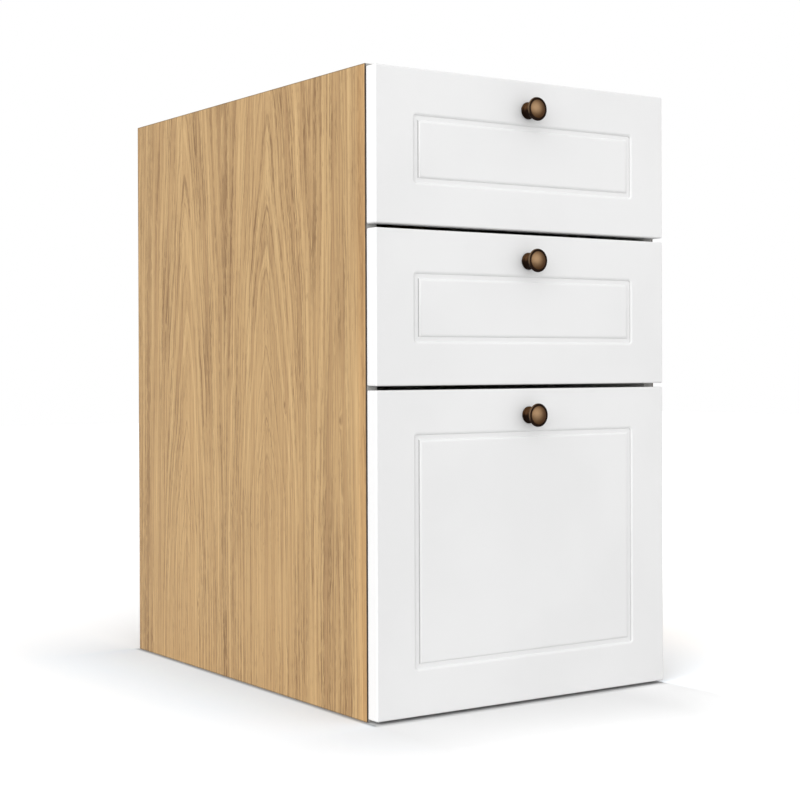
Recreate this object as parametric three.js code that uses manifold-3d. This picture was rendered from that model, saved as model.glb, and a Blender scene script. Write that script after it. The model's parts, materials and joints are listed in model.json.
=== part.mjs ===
// Kitchen base cabinet with three drawers: a frameless white carcass whose outer sides are faced in
// oak effect, white foil-wrapped fronts with a routed frame groove, bronze mushroom knobs, and boxes
// on full-extension telescopic slides.
// Millimetres, +Z up. The fronts face -Y, and the origin is on the floor, in the middle of the
// cabinet's overall width and depth.
import * as THREE from 'three';
import { mergeVertices } from 'three/addons/utils/BufferGeometryUtils.js';
import Module from 'manifold-3d';

const wasm = await Module();
wasm.setup();

// ---------------------------------------------------------------- carcass
const CABINET_WIDTH = 450;
const CABINET_HEIGHT = 760;
const CABINET_DEPTH = 600;
const SIDE_THICKNESS = 16;
const BOTTOM_THICKNESS = 16;
const TOP_RAIL_THICKNESS = 16;
const TOP_RAIL_WIDTH = 100;
const BACK_THICKNESS = 3;
const BACK_INSET = 12; // from the sides' rear edge to the back panel
const BACK_GROOVE_DEPTH = 8;
const FIT_CLEARANCE = 0.3; // between a piece and the groove or hole that holds it

const DOWEL_DIAMETER = 8;
const DOWEL_LENGTH = 30;
const DOWEL_DEPTH_IN_SIDE = 11;
const DOWEL_CHAMFER = 1;

// ---------------------------------------------------------------- drawer fronts
const FRONT_THICKNESS = 18;
const SHALLOW_FRONT_HEIGHT = 182; // the two upper fronts; the lower one takes what is left
const FRONT_TO_CARCASS_GAP = 1.5;
const FRONT_SIDE_REVEAL = 1.5;
const FRONT_BOTTOM_REVEAL = 3;
const FRONT_TOP_REVEAL = 3;
const GAP_BETWEEN_FRONTS = 5;
const FRONT_EDGE_RADIUS = 3;

const GROOVE_STILE = 52; // from a front's side edge to the groove
const TOP_FRONT_UPPER_RAIL = 51; // from the top front's upper edge to its groove
const TOP_FRONT_LOWER_RAIL = 46; // from its lower edge to its groove
const MIDDLE_FRONT_RAIL = 48; // above and below the middle front's groove alike
const BOTTOM_FRONT_UPPER_RAIL = 49;
const BOTTOM_FRONT_LOWER_RAIL = 52;
const GROOVE_WIDTH = 12.5;
const GROOVE_DEPTH = 2.5;
const GROOVE_WALL_RUN = 3.7; // how far each rounded wall reaches across the groove

// ---------------------------------------------------------------- knobs
const KNOB_DROP = 32; // from the upper edge of a lower front to its knob's axis
const TOP_KNOB_DROP = 36; // the same on the top front, whose routing also lies lower
const KNOB_PROJECTION = 22;
const KNOB_BASE_DIAMETER = 21;
const KNOB_BASE_THICKNESS = 2.8;
const KNOB_NECK_DIAMETER = 12.4;
const KNOB_NECK_HEIGHT = 8; // from the front to the narrowest point
const KNOB_HEAD_DIAMETER = 28.6;
const KNOB_RIM_THICKNESS = 3;
const KNOB_FACE_DIAMETER = 23.4; // inside the fine ring cut round the face
const KNOB_RING_WIDTH = 1;
const KNOB_RING_DEPTH = 0.5;
const KNOB_DOME_RISE = 1.8;

// ---------------------------------------------------------------- screws
const SCREW_DIAMETER = 4;
const SCREW_HEAD_DIAMETER = 8;
const SCREW_HEAD_HEIGHT = 2.4;
const SCREW_HEAD_EDGE = 0.6; // the straight edge of a head, below its rounding
const SCREW_HEAD_FLAT_DIAMETER = 2.6; // on top of a head
const SCREW_TIP_LENGTH = 4;
const SCREW_END_CHAMFER = 0.5;
const RECESS_LENGTH = 4.4;
const RECESS_WIDTH = 1;
const RECESS_DEPTH = 1.4;
const KNOB_THREAD_LENGTH = 7; // how far the knob's screw reaches into the knob
const FRONT_SCREW_BITE = 12; // how far a fixing screw reaches into the front
const FRONT_SCREW_SPACING = 240;

// ---------------------------------------------------------------- drawer boxes
const BOX_LENGTH = 500;
const BOX_WALL = 16;
const BOX_LIFT = 30; // from a front's lower edge to its box
const BOX_TOP_BELOW_SCREW = 2; // from the lowest knob screw's head to a shallow box's upper edge
const DEEP_BOX_EXTRA_DROP = 50; // how much further down the deep box's upper edge lies
const BOX_BOTTOM_THICKNESS = 3;
const BOX_BOTTOM_LIFT = 10; // from the box's lower edge to the bottom's groove
const BOX_GROOVE_DEPTH = 6;

// ---------------------------------------------------------------- telescopic slides
const SLIDE_HEIGHT = 45;
const SLIDE_WIDTH = 12.75; // from the side panel to the drawer box
const SLIDE_GAUGE = 1.2;
const SLIDE_LENGTH = 500;
const SLIDE_SETBACK = 2; // behind the side panel's front edge
const SLIDE_LIFT = 40; // from the box's lower edge to the slide's middle
const BALL_SPACE = 3; // between the flanges of two nested members
const WEB_SPACE = 1; // between the webs of two nested members
const LIP_CLEARANCE = 0.3; // between a rolled lip and the member that runs past it
const MIDDLE_MEMBER_SHORTER = 20;
const DRAWER_MEMBER_SHORTER = 8;
const MEMBER_HOLE_DIAMETER = 5;
const MEMBER_HOLE_MARGIN = 35; // from a member's ends to its outer screw holes
const MEMBER_HOLE_COUNT = 3;

// ---------------------------------------------------------------- facets
const CORNER_STEPS = 5;
const ROUNDING_STEPS = 4;
const KNOB_SIDES = 24;
const KNOB_CURVE_STEPS = 3;
const PIN_SIDES = 12;
const HEAD_CURVE_STEPS = 4;
const MERGE_TOLERANCE = 1e-4;
const OVERCUT = 20; // how far a cutter starts outside the surface that it opens

// ---------------------------------------------------------------- worked-out places
const halfWidth = CABINET_WIDTH / 2;
const innerHalfWidth = halfWidth - SIDE_THICKNESS;
const backFront = CABINET_DEPTH - BACK_INSET - BACK_THICKNESS;
const topRailBottom = CABINET_HEIGHT - TOP_RAIL_THICKNESS;
const pinHoleRadius = SCREW_DIAMETER / 2 + FIT_CLEARANCE;
const dowelHoleRadius = DOWEL_DIAMETER / 2 + FIT_CLEARANCE;

const frontWidth = CABINET_WIDTH - 2 * FRONT_SIDE_REVEAL;
const deepFrontHeight = CABINET_HEIGHT - FRONT_BOTTOM_REVEAL - FRONT_TOP_REVEAL
  - 2 * (SHALLOW_FRONT_HEIGHT + GAP_BETWEEN_FRONTS);
const frontBack = -FRONT_TO_CARCASS_GAP;
const frontFace = frontBack - FRONT_THICKNESS;

const boxHalfWidth = innerHalfWidth - SLIDE_WIDTH;
const boxInnerHalfWidth = boxHalfWidth - BOX_WALL;
const shallowBoxDrop = Math.max(KNOB_DROP, TOP_KNOB_DROP) + SCREW_HEAD_DIAMETER / 2
  + BOX_TOP_BELOW_SCREW;
const middleFrontBottom = FRONT_BOTTOM_REVEAL + deepFrontHeight + GAP_BETWEEN_FRONTS;
const topFrontBottom = middleFrontBottom + SHALLOW_FRONT_HEIGHT + GAP_BETWEEN_FRONTS;

const DRAWERS = [
  {
    name: 'top',
    bottom: topFrontBottom,
    height: SHALLOW_FRONT_HEIGHT,
    upperRail: TOP_FRONT_UPPER_RAIL,
    lowerRail: TOP_FRONT_LOWER_RAIL,
    knobDrop: TOP_KNOB_DROP,
    boxDrop: shallowBoxDrop,
  },
  {
    name: 'middle',
    bottom: middleFrontBottom,
    height: SHALLOW_FRONT_HEIGHT,
    upperRail: MIDDLE_FRONT_RAIL,
    lowerRail: MIDDLE_FRONT_RAIL,
    knobDrop: KNOB_DROP,
    boxDrop: shallowBoxDrop,
  },
  {
    name: 'bottom',
    bottom: FRONT_BOTTOM_REVEAL,
    height: deepFrontHeight,
    upperRail: BOTTOM_FRONT_UPPER_RAIL,
    lowerRail: BOTTOM_FRONT_LOWER_RAIL,
    knobDrop: KNOB_DROP,
    boxDrop: shallowBoxDrop + DEEP_BOX_EXTRA_DROP,
  },
];

const SIDES = [{ name: 'left', sign: -1 }, { name: 'right', sign: 1 }];

const middleMemberHeight = SLIDE_HEIGHT - 2 * (SLIDE_GAUGE + BALL_SPACE);
const drawerMemberHeight = middleMemberHeight - 2 * (SLIDE_GAUGE + BALL_SPACE);
const cabinetMemberWidth = SLIDE_WIDTH - SLIDE_GAUGE - LIP_CLEARANCE;
const middleMemberStart = SLIDE_GAUGE + WEB_SPACE;
const drawerMemberStart = middleMemberStart + SLIDE_GAUGE + WEB_SPACE;

// ---------------------------------------------------------------- materials
const oakBoard = new THREE.MeshStandardMaterial({ color: 0xc8a67a, roughness: 0.55, metalness: 0 });
const whiteFoil = new THREE.MeshStandardMaterial({ color: 0xededed, roughness: 0.4, metalness: 0 });
const whiteBoard = new THREE.MeshStandardMaterial({ color: 0xe4e2dd, roughness: 0.6, metalness: 0 });
const hardboard = new THREE.MeshStandardMaterial({ color: 0xd9d2c4, roughness: 0.7, metalness: 0 });
const bronze = new THREE.MeshStandardMaterial({ color: 0x7a5c40, roughness: 0.38, metalness: 0.9 });
const zincSteel = new THREE.MeshStandardMaterial({ color: 0xb4b7ba, roughness: 0.35, metalness: 0.9 });
const beech = new THREE.MeshStandardMaterial({ color: 0xd2b487, roughness: 0.7, metalness: 0 });

// ---------------------------------------------------------------- solids

/** Drops the triangles that have no area because two of their corners are one point. */
function withoutSlivers(geometry) {
  const bare = geometry.clone();
  bare.deleteAttribute('normal');
  bare.deleteAttribute('uv');
  const merged = mergeVertices(bare, MERGE_TOLERANCE);
  const kept = [];
  for (let i = 0; i < merged.index.count; i += 3) {
    const [a, b, c] = [0, 1, 2].map((corner) => merged.index.getX(i + corner));
    if (a !== b && b !== c && c !== a) kept.push(a, b, c);
  }
  merged.setIndex(kept);
  return merged;
}

/** A closed geometry as a solid that can be joined and cut. */
function toSolid(geometry) {
  const closed = withoutSlivers(geometry);
  return new wasm.Manifold(new wasm.Mesh({
    numProp: 3,
    vertProperties: closed.attributes.position.array,
    triVerts: new Uint32Array(closed.index.array),
  }));
}

/** A geometry with each cutter taken out of it. */
function cut(geometry, cutters) {
  const solid = cutters.reduce((rest, cutter) => rest.subtract(toSolid(cutter)), toSolid(geometry));
  const { vertProperties, triVerts } = solid.getMesh();
  const result = new THREE.BufferGeometry();
  result.setAttribute('position', new THREE.BufferAttribute(vertProperties, 3));
  result.setIndex(new THREE.BufferAttribute(triVerts, 1));
  result.computeVertexNormals();
  return result;
}

/** A block between two corners, [x, y, z] each. */
function block(low, high) {
  const size = low.map((value, axis) => high[axis] - value);
  const centre = low.map((value, axis) => (value + high[axis]) / 2);
  return new THREE.BoxGeometry(...size).translate(...centre);
}

/** A drill along Y that ends at y = depth and starts OVERCUT before y = 0. */
function drillAlongY(radius, depth) {
  const length = depth + OVERCUT;
  return new THREE.CylinderGeometry(radius, radius, length, PIN_SIDES)
    .translate(0, (depth - OVERCUT) / 2, 0);
}

function mesh(name, geometry, material) {
  const piece = new THREE.Mesh(geometry, material);
  piece.name = name;
  return piece;
}

function at(piece, x, y, z) {
  piece.position.set(x, y, z);
  return piece;
}

// ---------------------------------------------------------------- carcass pieces

/** Where the dowels lie: one at each end of the bottom panel and of each top rail. */
const dowelRows = [
  { name: 'bottom_panel', y: CABINET_DEPTH / 2, z: BOTTOM_THICKNESS / 2 },
  { name: 'front_rail', y: TOP_RAIL_WIDTH / 2, z: topRailBottom + TOP_RAIL_THICKNESS / 2 },
  { name: 'rear_rail', y: backFront - TOP_RAIL_WIDTH / 2, z: topRailBottom + TOP_RAIL_THICKNESS / 2 },
];

/** The drill for one dowel hole, along X, into the board on that side of the joint's plane. */
function dowelDrill(depth, sign, { y, z }) {
  return drillAlongY(dowelHoleRadius, depth + FIT_CLEARANCE)
    .rotateZ(-sign * Math.PI / 2)
    .translate(0, y, z);
}

function backGroove(low, high) {
  return block(
    [low[0], backFront - FIT_CLEARANCE, low[1]],
    [high[0], backFront + BACK_THICKNESS + FIT_CLEARANCE, high[1]],
  );
}

/** A full-height side, with its inner face at x = 0 and its outer face away from the cabinet. */
function sidePanel({ name, sign }) {
  const outer = sign * SIDE_THICKNESS;
  const board = block(
    [Math.min(0, outer), 0, 0],
    [Math.max(0, outer), CABINET_DEPTH, CABINET_HEIGHT],
  );
  const grooveEnds = [-sign * OVERCUT, sign * BACK_GROOVE_DEPTH];
  const groove = backGroove(
    [Math.min(...grooveEnds), -OVERCUT],
    [Math.max(...grooveEnds), CABINET_HEIGHT + OVERCUT],
  );
  const holes = dowelRows.map((row) => dowelDrill(DOWEL_DEPTH_IN_SIDE, sign, row));
  const panel = mesh(`${name}_side_panel`, cut(board, [groove, ...holes]), oakBoard);
  return at(panel, sign * innerHalfWidth, 0, 0);
}

/** Dowel holes in both ends of a board that runs from side to side. */
function endHoles(row) {
  const depth = DOWEL_LENGTH - DOWEL_DEPTH_IN_SIDE;
  return SIDES.map(({ sign }) => dowelDrill(depth, -sign, row).translate(sign * innerHalfWidth, 0, 0));
}

function bottomPanel() {
  const board = block(
    [-innerHalfWidth, 0, 0],
    [innerHalfWidth, CABINET_DEPTH, BOTTOM_THICKNESS],
  );
  const groove = backGroove(
    [-innerHalfWidth - OVERCUT, BOTTOM_THICKNESS - BACK_GROOVE_DEPTH],
    [innerHalfWidth + OVERCUT, BOTTOM_THICKNESS + OVERCUT],
  );
  return mesh('bottom_panel', cut(board, [groove, ...endHoles(dowelRows[0])]), whiteBoard);
}

function topRail(name, row) {
  const board = block(
    [-innerHalfWidth, row.y - TOP_RAIL_WIDTH / 2, topRailBottom],
    [innerHalfWidth, row.y + TOP_RAIL_WIDTH / 2, CABINET_HEIGHT],
  );
  return mesh(name, cut(board, endHoles(row)), whiteBoard);
}

/** The thin back, held in the grooves of the sides and the bottom. */
function backPanel() {
  const reach = innerHalfWidth + BACK_GROOVE_DEPTH - FIT_CLEARANCE;
  const foot = BOTTOM_THICKNESS - BACK_GROOVE_DEPTH + FIT_CLEARANCE;
  const sheet = block(
    [-reach, backFront, foot],
    [reach, backFront + BACK_THICKNESS, CABINET_HEIGHT],
  );
  return mesh('back_panel', sheet, hardboard);
}

/** A chamfered beech dowel that bridges the joint between a side and a board's end. */
function dowel({ name, sign }, row) {
  const radius = DOWEL_DIAMETER / 2;
  const profile = [
    new THREE.Vector2(0, 0),
    new THREE.Vector2(radius - DOWEL_CHAMFER, 0),
    new THREE.Vector2(radius, DOWEL_CHAMFER),
    new THREE.Vector2(radius, DOWEL_LENGTH - DOWEL_CHAMFER),
    new THREE.Vector2(radius - DOWEL_CHAMFER, DOWEL_LENGTH),
    new THREE.Vector2(0, DOWEL_LENGTH),
  ];
  const rod = new THREE.LatheGeometry(profile, PIN_SIDES);
  const piece = mesh(`${row.name}_dowel_${name}`, withoutSlivers(rod), beech);
  piece.rotation.z = sign * Math.PI / 2;
  return at(piece, sign * (innerHalfWidth + DOWEL_DEPTH_IN_SIDE), row.y, row.z);
}

// ---------------------------------------------------------------- drawer fronts

/** A rounded rectangle's points in XZ at one depth, counter-clockwise seen from the front. */
function roundedLoop(reachX, reachZ, radius, y) {
  const points = [];
  for (let corner = 0; corner < 4; corner += 1) {
    const signX = corner === 0 || corner === 3 ? 1 : -1;
    const signZ = corner < 2 ? 1 : -1;
    for (let step = 0; step <= CORNER_STEPS; step += 1) {
      const angle = (corner + step / CORNER_STEPS) * Math.PI / 2;
      points.push([
        signX * (reachX - radius) + radius * Math.cos(angle),
        y,
        signZ * (reachZ - radius) + radius * Math.sin(angle),
      ]);
    }
  }
  return points;
}

/** The loops of a front from its back edge round the rounded edge to the face. */
function frontEdgeLoops(reachX, reachZ) {
  const loops = [roundedLoop(reachX, reachZ, FRONT_EDGE_RADIUS, 0)];
  for (let step = 0; step <= ROUNDING_STEPS; step += 1) {
    const angle = step / ROUNDING_STEPS * Math.PI / 2;
    const inset = FRONT_EDGE_RADIUS * (1 - Math.cos(angle));
    const y = FRONT_EDGE_RADIUS * (1 - Math.sin(angle)) - FRONT_THICKNESS;
    loops.push(roundedLoop(reachX - inset, reachZ - inset, FRONT_EDGE_RADIUS - inset, y));
  }
  return loops;
}

/** The groove's loops: down its rounded outer wall, across its floor and up its inner wall. */
function grooveLoops({ height, upperRail, lowerRail }) {
  const pathX = frontWidth / 2 - GROOVE_STILE - GROOVE_WIDTH / 2;
  const pathZ = (height - upperRail - lowerRail - GROOVE_WIDTH) / 2;
  const rise = (lowerRail - upperRail) / 2;
  const wallRadius = (GROOVE_WALL_RUN ** 2 + GROOVE_DEPTH ** 2) / (2 * GROOVE_DEPTH);
  const wallAngle = 2 * Math.atan2(GROOVE_DEPTH, GROOVE_WALL_RUN);
  const outer = [];
  const inner = [];
  for (let step = 0; step <= ROUNDING_STEPS; step += 1) {
    const angle = step / ROUNDING_STEPS * wallAngle;
    const offset = GROOVE_WIDTH / 2 - wallRadius * Math.sin(angle);
    const y = wallRadius * (1 - Math.cos(angle)) - FRONT_THICKNESS;
    outer.push(roundedLoop(pathX + offset, pathZ + offset, offset, y));
    inner.unshift(roundedLoop(pathX - offset, pathZ - offset, 0, y));
  }
  return [...outer, ...inner].map((loop) => loop.map(([x, y, z]) => [x, y, z + rise]));
}

/** The closed skin through a stack of loops, with a flat cap on the first and the last. */
function skinThrough(loops) {
  const count = loops[0].length;
  const last = loops.length - 1;
  const points = [...loops.flat(), [0, loops[0][0][1], 0], [0, loops[last][0][1], 0]];
  const backCentre = points.length - 2;
  const faceCentre = points.length - 1;
  const index = [];
  for (let i = 0; i < count; i += 1) {
    const j = (i + 1) % count;
    for (let row = 0; row < last; row += 1) {
      const [a, b] = [row * count + i, row * count + j];
      const [c, d] = [a + count, b + count];
      index.push(a, b, c, b, d, c);
    }
    index.push(backCentre, j, i, faceCentre, last * count + i, last * count + j);
  }
  const geometry = new THREE.BufferGeometry();
  geometry.setAttribute('position', new THREE.Float32BufferAttribute(points.flat(), 3));
  geometry.setIndex(index);
  return geometry;
}

/** A front on its group's origin, which is the middle of its lower edge on the carcass's plane. */
function drawerFront(drawer) {
  const reachX = frontWidth / 2;
  const reachZ = drawer.height / 2;
  const slab = skinThrough([...frontEdgeLoops(reachX, reachZ), ...grooveLoops(drawer)]);
  const knobHole = drillAlongY(pinHoleRadius, FRONT_THICKNESS + OVERCUT)
    .rotateZ(Math.PI)
    .translate(0, 0, reachZ - drawer.knobDrop);
  const screwHoles = SIDES.map(({ sign }) => drillAlongY(pinHoleRadius, FRONT_SCREW_BITE + FIT_CLEARANCE)
    .rotateZ(Math.PI)
    .translate(sign * FRONT_SCREW_SPACING / 2, 0, frontScrewHeight(drawer) - reachZ));
  const front = mesh(`${drawer.name}_drawer_front`, cut(slab, [knobHole, ...screwHoles]), whiteFoil);
  return at(front, 0, frontBack, reachZ);
}

// ---------------------------------------------------------------- knob and screws

/** The knob's half section: x is the radius, y the distance from the front's face. */
function knobProfile() {
  const baseEdge = KNOB_BASE_THICKNESS / 2;
  const baseReach = KNOB_BASE_DIAMETER / 2 - baseEdge;
  const rimEdge = KNOB_RIM_THICKNESS / 2;
  const rimReach = KNOB_HEAD_DIAMETER / 2 - rimEdge;
  const rimTop = KNOB_PROJECTION - KNOB_DOME_RISE;
  const rimBottom = rimTop - KNOB_RIM_THICKNESS;
  const neck = KNOB_NECK_DIAMETER / 2;
  const face = KNOB_FACE_DIAMETER / 2;
  const holeDepth = KNOB_THREAD_LENGTH + FIT_CLEARANCE;
  const quarter = Math.PI / 2;
  const path = new THREE.Path();
  path.moveTo(0, holeDepth);
  path.lineTo(pinHoleRadius, holeDepth);
  path.lineTo(pinHoleRadius, 0);
  path.lineTo(baseReach, 0);
  path.absarc(baseReach, baseEdge, baseEdge, -quarter, quarter, false);
  path.quadraticCurveTo(neck, KNOB_BASE_THICKNESS, neck, KNOB_NECK_HEIGHT);
  path.quadraticCurveTo(neck, rimBottom, rimReach, rimBottom);
  path.absarc(rimReach, rimTop - rimEdge, rimEdge, -quarter, quarter, false);
  path.lineTo(face, rimTop);
  path.lineTo(face - KNOB_RING_WIDTH / 2, rimTop - KNOB_RING_DEPTH);
  path.lineTo(face - KNOB_RING_WIDTH, rimTop);
  path.quadraticCurveTo(face / 2, KNOB_PROJECTION, 0, KNOB_PROJECTION);
  return path.getPoints(KNOB_CURVE_STEPS);
}

function knob(drawer) {
  const turned = new THREE.LatheGeometry(knobProfile(), KNOB_SIDES);
  const piece = mesh(`${drawer.name}_drawer_knob`, withoutSlivers(turned), bronze);
  piece.rotation.x = Math.PI;
  return at(piece, 0, frontFace, drawer.height - drawer.knobDrop);
}

/** A pan-head screw along Y: its shank runs from its seat at y = 0 to y = -length. */
function panHeadScrew(name, length, tipLength, tipRadius) {
  const radius = SCREW_DIAMETER / 2;
  const headRadius = SCREW_HEAD_DIAMETER / 2;
  const path = new THREE.Path();
  path.moveTo(0, -length);
  if (tipRadius > 0) path.lineTo(tipRadius, -length);
  path.lineTo(radius, tipLength - length);
  path.lineTo(radius, 0);
  path.lineTo(headRadius, 0);
  path.lineTo(headRadius, SCREW_HEAD_EDGE);
  path.quadraticCurveTo(headRadius, SCREW_HEAD_HEIGHT, SCREW_HEAD_FLAT_DIAMETER / 2, SCREW_HEAD_HEIGHT);
  path.lineTo(0, SCREW_HEAD_HEIGHT);
  const turned = new THREE.LatheGeometry(path.getPoints(HEAD_CURVE_STEPS), PIN_SIDES);
  const floor = SCREW_HEAD_HEIGHT - RECESS_DEPTH;
  const reach = RECESS_LENGTH / 2;
  const half = RECESS_WIDTH / 2;
  const above = SCREW_HEAD_HEIGHT + OVERCUT;
  const recess = [
    block([-reach, floor, -half], [reach, above, half]),
    block([-half, floor, -reach], [half, above, reach]),
  ];
  return mesh(name, cut(turned, recess), zincSteel);
}

function knobScrew(drawer) {
  const length = FRONT_THICKNESS + KNOB_THREAD_LENGTH;
  const endRadius = SCREW_DIAMETER / 2 - SCREW_END_CHAMFER;
  const screw = panHeadScrew(`${drawer.name}_drawer_knob_screw`, length, SCREW_END_CHAMFER, endRadius);
  return at(screw, 0, frontBack, drawer.height - drawer.knobDrop);
}

/** The fixing screws sit halfway up the box, above the front's lower edge. */
function frontScrewHeight(drawer) {
  return BOX_LIFT + boxHeight(drawer) / 2;
}

function frontScrew(drawer, { name, sign }) {
  const length = BOX_WALL + FRONT_SCREW_BITE;
  const screw = panHeadScrew(`${drawer.name}_drawer_front_screw_${name}`, length, SCREW_TIP_LENGTH, 0);
  return at(screw, sign * FRONT_SCREW_SPACING / 2, frontBack + BOX_WALL, frontScrewHeight(drawer));
}

// ---------------------------------------------------------------- drawer box

function boxHeight(drawer) {
  return drawer.height - BOX_LIFT - drawer.boxDrop;
}

/** The slot that holds the box's bottom, cut from corner to corner of the given plan. */
function boxGroove(low, high) {
  return block(
    [low[0], low[1], BOX_BOTTOM_LIFT],
    [high[0], high[1], BOX_BOTTOM_LIFT + BOX_BOTTOM_THICKNESS + 2 * FIT_CLEARANCE],
  );
}

/** A long side of the box, outer face at x = 0 and lower edge at z = 0 before it is placed. */
function boxSide(drawer, { name, sign }) {
  const inner = -sign * BOX_WALL;
  const wall = block([Math.min(0, inner), 0, 0], [Math.max(0, inner), BOX_LENGTH, boxHeight(drawer)]);
  const grooveEnds = [inner + sign * BOX_GROOVE_DEPTH, inner - sign * OVERCUT];
  const groove = boxGroove(
    [Math.min(...grooveEnds), -OVERCUT],
    [Math.max(...grooveEnds), BOX_LENGTH + OVERCUT],
  );
  const side = mesh(`${drawer.name}_drawer_box_${name}`, cut(wall, [groove]), whiteBoard);
  return at(side, sign * boxHalfWidth, frontBack, BOX_LIFT);
}

/** A cross wall of the box: inward is 1 where its groove faces the rear, -1 where it faces the front. */
function boxCrossWall(name, drawer, y, inward, drills) {
  const reach = boxInnerHalfWidth;
  const wall = block([-reach, 0, 0], [reach, BOX_WALL, boxHeight(drawer)]);
  const grooveStart = inward > 0 ? BOX_WALL - BOX_GROOVE_DEPTH : -OVERCUT;
  const grooveEnd = inward > 0 ? BOX_WALL + OVERCUT : BOX_GROOVE_DEPTH;
  const groove = boxGroove([-reach - OVERCUT, grooveStart], [reach + OVERCUT, grooveEnd]);
  const piece = mesh(`${drawer.name}_drawer_${name}`, cut(wall, [groove, ...drills]), whiteBoard);
  return at(piece, 0, y, BOX_LIFT);
}

function boxInnerFront(drawer) {
  const drills = SIDES.map(({ sign }) => drillAlongY(pinHoleRadius, BOX_WALL + OVERCUT)
    .translate(sign * FRONT_SCREW_SPACING / 2, 0, boxHeight(drawer) / 2));
  return boxCrossWall('box_inner_front', drawer, frontBack, 1, drills);
}

function boxBack(drawer) {
  return boxCrossWall('box_back', drawer, frontBack + BOX_LENGTH - BOX_WALL, -1, []);
}

function boxBottom(drawer) {
  const held = BOX_GROOVE_DEPTH - FIT_CLEARANCE;
  const reach = boxInnerHalfWidth + held;
  const start = BOX_WALL - held;
  const sheet = block([-reach, start, 0], [reach, BOX_LENGTH - start, BOX_BOTTOM_THICKNESS]);
  const piece = mesh(`${drawer.name}_drawer_box_bottom`, sheet, hardboard);
  return at(piece, 0, frontBack, BOX_LIFT + BOX_BOTTOM_LIFT + FIT_CLEARANCE);
}

// ---------------------------------------------------------------- telescopic slides

/** A channel's section: web at u = 0, flanges towards +u, with lips rolled in to v = +-lipReach. */
function channelSection(width, height, lipReach) {
  const outer = height / 2;
  const inner = outer - SLIDE_GAUGE;
  const lipStart = width - SLIDE_GAUGE;
  const upper = [
    [0, outer], [width, outer], [width, lipReach], [lipStart, lipReach], [lipStart, inner],
    [SLIDE_GAUGE, inner],
  ];
  const lower = upper.map(([u, v]) => [u, -v]).reverse();
  return new THREE.Shape([...upper, ...lower].map(([u, v]) => new THREE.Vector2(u, v)));
}

/** A plain channel without lips, for the member on the drawer. */
function plainSection(width, height) {
  const outer = height / 2;
  const inner = outer - SLIDE_GAUGE;
  const upper = [[0, outer], [width, outer], [width, inner], [SLIDE_GAUGE, inner]];
  const lower = upper.map(([u, v]) => [u, -v]).reverse();
  return new THREE.Shape([...upper, ...lower].map(([u, v]) => new THREE.Vector2(u, v)));
}

/** Screw holes through a member's web, evenly spaced between its end margins. */
function memberHoles(length) {
  const pitch = (length - 2 * MEMBER_HOLE_MARGIN) / (MEMBER_HOLE_COUNT - 1);
  return Array.from({ length: MEMBER_HOLE_COUNT }, (_, i) => new THREE.CylinderGeometry(
    MEMBER_HOLE_DIAMETER / 2,
    MEMBER_HOLE_DIAMETER / 2,
    2 * OVERCUT,
    PIN_SIDES,
  ).rotateZ(Math.PI / 2).translate(0, MEMBER_HOLE_MARGIN + i * pitch, 0));
}

/** A section rolled along +Y, with its web on x = 0 and its flanges towards +X. */
function slideMember(name, section, length, holes) {
  const rolled = new THREE.ExtrudeGeometry(section, { depth: length, bevelEnabled: false })
    .rotateX(-Math.PI / 2);
  return mesh(name, cut(rolled, holes), zincSteel);
}

/** Stands a member on a side panel or a box: facing is 1 where its web looks at the side panel. */
function placeMember(piece, sign, facing, offset, height) {
  piece.rotation.y = sign * facing < 0 ? 0 : Math.PI;
  return at(piece, sign * (innerHalfWidth - offset), SLIDE_SETBACK, height);
}

function cabinetMember(drawer, { name, sign }, height) {
  const section = channelSection(cabinetMemberWidth, SLIDE_HEIGHT, middleMemberHeight / 2 + LIP_CLEARANCE);
  const label = `${drawer.name}_slide_${name}_cabinet_member`;
  const piece = slideMember(label, section, SLIDE_LENGTH, memberHoles(SLIDE_LENGTH));
  return placeMember(piece, sign, 1, 0, height);
}

function middleMember(drawer, { name, sign }, height) {
  const width = cabinetMemberWidth - middleMemberStart;
  const section = channelSection(width, middleMemberHeight, drawerMemberHeight / 2 + LIP_CLEARANCE);
  const label = `${drawer.name}_slide_${name}_middle_member`;
  const piece = slideMember(label, section, SLIDE_LENGTH - MIDDLE_MEMBER_SHORTER, []);
  return placeMember(piece, sign, 1, middleMemberStart, height);
}

function drawerMember(drawer, { name, sign }, height) {
  const length = SLIDE_LENGTH - DRAWER_MEMBER_SHORTER;
  const section = plainSection(SLIDE_WIDTH - drawerMemberStart, drawerMemberHeight);
  const label = `${drawer.name}_slide_${name}_drawer_member`;
  const piece = slideMember(label, section, length, memberHoles(length));
  return placeMember(piece, sign, -1, SLIDE_WIDTH, height);
}

// ---------------------------------------------------------------- assembly

function carcass() {
  const group = new THREE.Group();
  group.add(...SIDES.map(sidePanel), bottomPanel(), backPanel());
  group.add(topRail('front_top_rail', dowelRows[1]), topRail('rear_top_rail', dowelRows[2]));
  dowelRows.forEach((row) => group.add(...SIDES.map((side) => dowel(side, row))));
  return group;
}

function slides(drawer) {
  const height = BOX_LIFT + SLIDE_LIFT;
  return SIDES.flatMap((side) => [
    cabinetMember(drawer, side, height),
    middleMember(drawer, side, height),
    drawerMember(drawer, side, height),
  ]);
}

/** One drawer with its slides; the group's origin is the middle of the front's lower edge. */
function drawerUnit(drawer) {
  const group = new THREE.Group();
  group.add(drawerFront(drawer), knob(drawer), knobScrew(drawer));
  group.add(...SIDES.map((side) => frontScrew(drawer, side)));
  group.add(...SIDES.map((side) => boxSide(drawer, side)));
  group.add(boxInnerFront(drawer), boxBack(drawer), boxBottom(drawer), ...slides(drawer));
  group.position.z = drawer.bottom;
  return group;
}

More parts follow.
